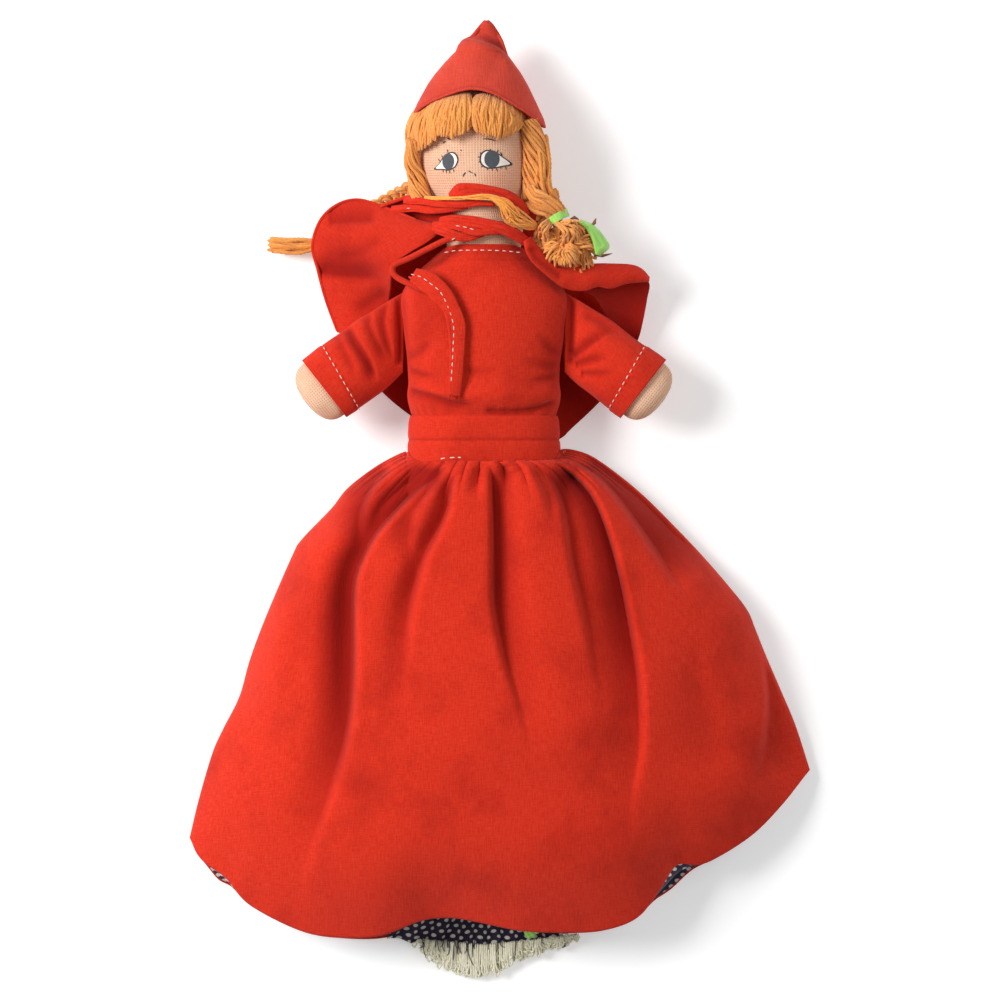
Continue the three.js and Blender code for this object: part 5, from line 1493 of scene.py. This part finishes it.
def make_hidden_ribbon():
    ring = np.linspace(0, math.tau, 60)
    band = np.column_stack([17.2 * np.cos(ring), np.full(60, -160.4), 13.6 + 7.4 * np.sin(ring)])
    tail = [(13, -161, 8.4), (15.5, -169, 7.8), (17.2, -175.0, 7.0), (18.4, -177.2, 6.0)]
    for made in (strap("hidden_ribbon_band", band, 1.7, GREEN_SATIN, RIBBON),
                 strap("hidden_ribbon_tail", tail, 2.4, GREEN_SATIN, RIBBON, cup=0.8, wrinkle=0.5)):
        sew_on(made, "hidden_cap_ribbon")


# Where the lace's loops end and where they start, across it
LACE_END = ([-24, -18, -12, -4, 4, 9, 17, 26, 34.5],
            [182.4, 187.0, 190.4, 192.6, 191.4, 188.6, 184.8, 181.6, 179.6])
LACE_START = ([-24, 0, 20, 35], [178.5, 180.5, 178.5, 176.5])


def make_lace():
    random = np.random.default_rng(8)
    lines = []
    for k in range(104):
        x = -23.6 + 58.0 * k / 103 + random.normal(0, 0.25)
        drop = np.interp(x, *LACE_END) + random.normal(0, 0.55)
        start = np.interp(x, *LACE_START)
        z = 3.4 + random.uniform(-0.6, 1.4)
        wide, lean = random.uniform(0.55, 1.0), random.normal(0, 0.7)
        neck = -(drop - min(4.2, (drop - start) * 0.6))
        lines.append(route([(x - 0.2, -start, z + 1.6), (x - 0.3 + lean * 0.4, neck, z + 1.0),
                            (x - wide + lean, -drop + 1.4, z),
                            (x + lean, -drop, z - 0.4), (x + wide + lean, -drop + 1.4, z),
                            (x + 0.3 + lean * 0.4, neck, z + 1.0),
                            (x + 0.5, -start, z + 1.6)], 0.6))
    for share in (0.1, 0.3, 0.5, 0.68):
        xs = np.linspace(-23.8, 34.4, 120)
        low, start = (np.interp(xs, *line) for line in (LACE_END, LACE_START))
        y = -(start + (low - start) * share) + 0.5 * np.sin(xs * 3.1 + share * 9) + 0.3 * np.sin(xs * 1.3)
        lines.append(np.column_stack([xs, y, 4.8 + 0.6 * np.sin(xs * 2.3 + share * 5)]))
    made = tubes("lace_threads", lines, 0.36, LACE, sides=6, ply=0.1, pitch=1.6)
    sew_on(made, "hidden_cap_lace")
    frays = []
    for k in range(30):
        x = random.uniform(-24, 12)
        y = -179.6 - 1.6 * random.uniform(0, 1)
        long = random.uniform(1.0, 4.0) if k % 6 else random.uniform(4, 8)
        lean = random.normal(0, 1.6)
        frays.append(route([(x, y + 2, 6.4), (x + lean * 0.4, y - long * 0.5, 6.2),
                            (x + lean, y - long, 5.6)], 0.6))
    made = tubes("frill_frayed_threads", frays, 0.15, NAVY_THREAD, sides=5, ply=0)
    sew_on(made, "hidden_cap_frill")


# Assembly

make_skirt()
make_skirt_back(RED, "skirt_back_cloth", "skirt_back", 0.3, 0.0, 0.0)
make_skirt_back(HIDDEN, "skirt_lining_back_cloth", "skirt_lining_back", 1.3, -0.8, 1.4)
make_torso()
for make in (make_bodice, make_waistband):
    for doll in (RED, HIDDEN):
        make(doll)
for side, place in ((-1, "left"), (1, "right")):
    for doll in (RED, HIDDEN):
        make_sleeve(doll, side, place)
        make_arm(doll, side, place)
    make_cuff_stitches(side, place)
make_head(RED, HEAD, "red_head")
make_head(HIDDEN, HIDDEN_HEAD, "hidden_head")
make_face(RED, HEAD, "red")
make_face(HIDDEN, HIDDEN_HEAD, "hidden", HEAD_LEAN)
for prefix, rows, doll in (("red", HEAD, RED), ("hidden", HIDDEN_HEAD, HIDDEN)):
    make_fringe(prefix, rows, doll)
    make_back_hair(prefix, rows, doll)
make_side_hair()
make_right_plait()
make_right_tassel()
make_left_plait()
make_loose_yarn()
make_ribbons()
make_cap()
make_cape()
make_strips()
make_waist_threads()
make_tie()
make_hidden_crown()
make_frill()
make_lace()
make_hidden_ribbon()


# Studio

scene = bpy.context.scene
scene.view_settings.view_transform = "Standard"

floor_mesh = bpy.data.meshes.new("studio_floor")
floor_mesh.from_pydata([(-3, -3, 0), (3, -3, 0), (3, 3, 0), (-3, 3, 0)], [], [(0, 1, 2, 3)])
floor_paper = bpy.data.materials.new("white_paper")
floor_paper.use_nodes = True
paper_looks = {"Base Color": (0.86, 0.86, 0.86, 1), "Roughness": 0.9, "Emission Color": (1, 1, 1, 1),
               "Emission Strength": 0.3}
for key, value in paper_looks.items():
    floor_paper.node_tree.nodes["Principled BSDF"].inputs[key].default_value = value
floor_mesh.materials.append(floor_paper)
floor = bpy.data.objects.new("studio_floor", floor_mesh)
scene.collection.objects.link(floor)

world = bpy.data.worlds.new("soft_room")
world.use_nodes = True
scene.world = world
world.node_tree.nodes.clear()
room = functools.partial(add, world.node_tree)
# The room is bright where the camera looks at it, also in a shine or through glass, and dim as a light
rays = [room("LightPath", out=f"Is {ray} Ray") for ray in ("Camera", "Glossy", "Transmission")]
shone = room("Math", rays[1:], operation="MAXIMUM")
looked_at = room("Math", [rays[0], shone], operation="MAXIMUM")
strength = room("MapRange", [looked_at, 0, 1, 0.26, 1.0])
room("OutputWorld", [room("Background", {"Color": (1, 1, 1, 1), "Strength": strength})])


def lamp(name, place, size, power):
    """A soft square light that looks at the doll."""
    light = bpy.data.lights.new(name, "AREA")
    light.size = size
    light.energy = power
    made = bpy.data.objects.new(name, light)
    made.location = place
    aim = -made.location
    made.rotation_euler = aim.to_track_quat("-Z", "Y").to_euler()
    scene.collection.objects.link(made)


lamp("key_light", (-0.95, 0.32, 0.86), 0.55, 18.5)
lamp("fill_light", (0.8, 0.3, 1.1), 1.0, 5.5)

camera_data = bpy.data.cameras.new("photo_camera")
camera_data.lens = 100
camera_data.clip_end = 10
camera = bpy.data.objects.new("photo_camera", camera_data)
camera.location = (0.00037, -0.00055, 1.044)
scene.collection.objects.link(camera)
scene.camera = camera
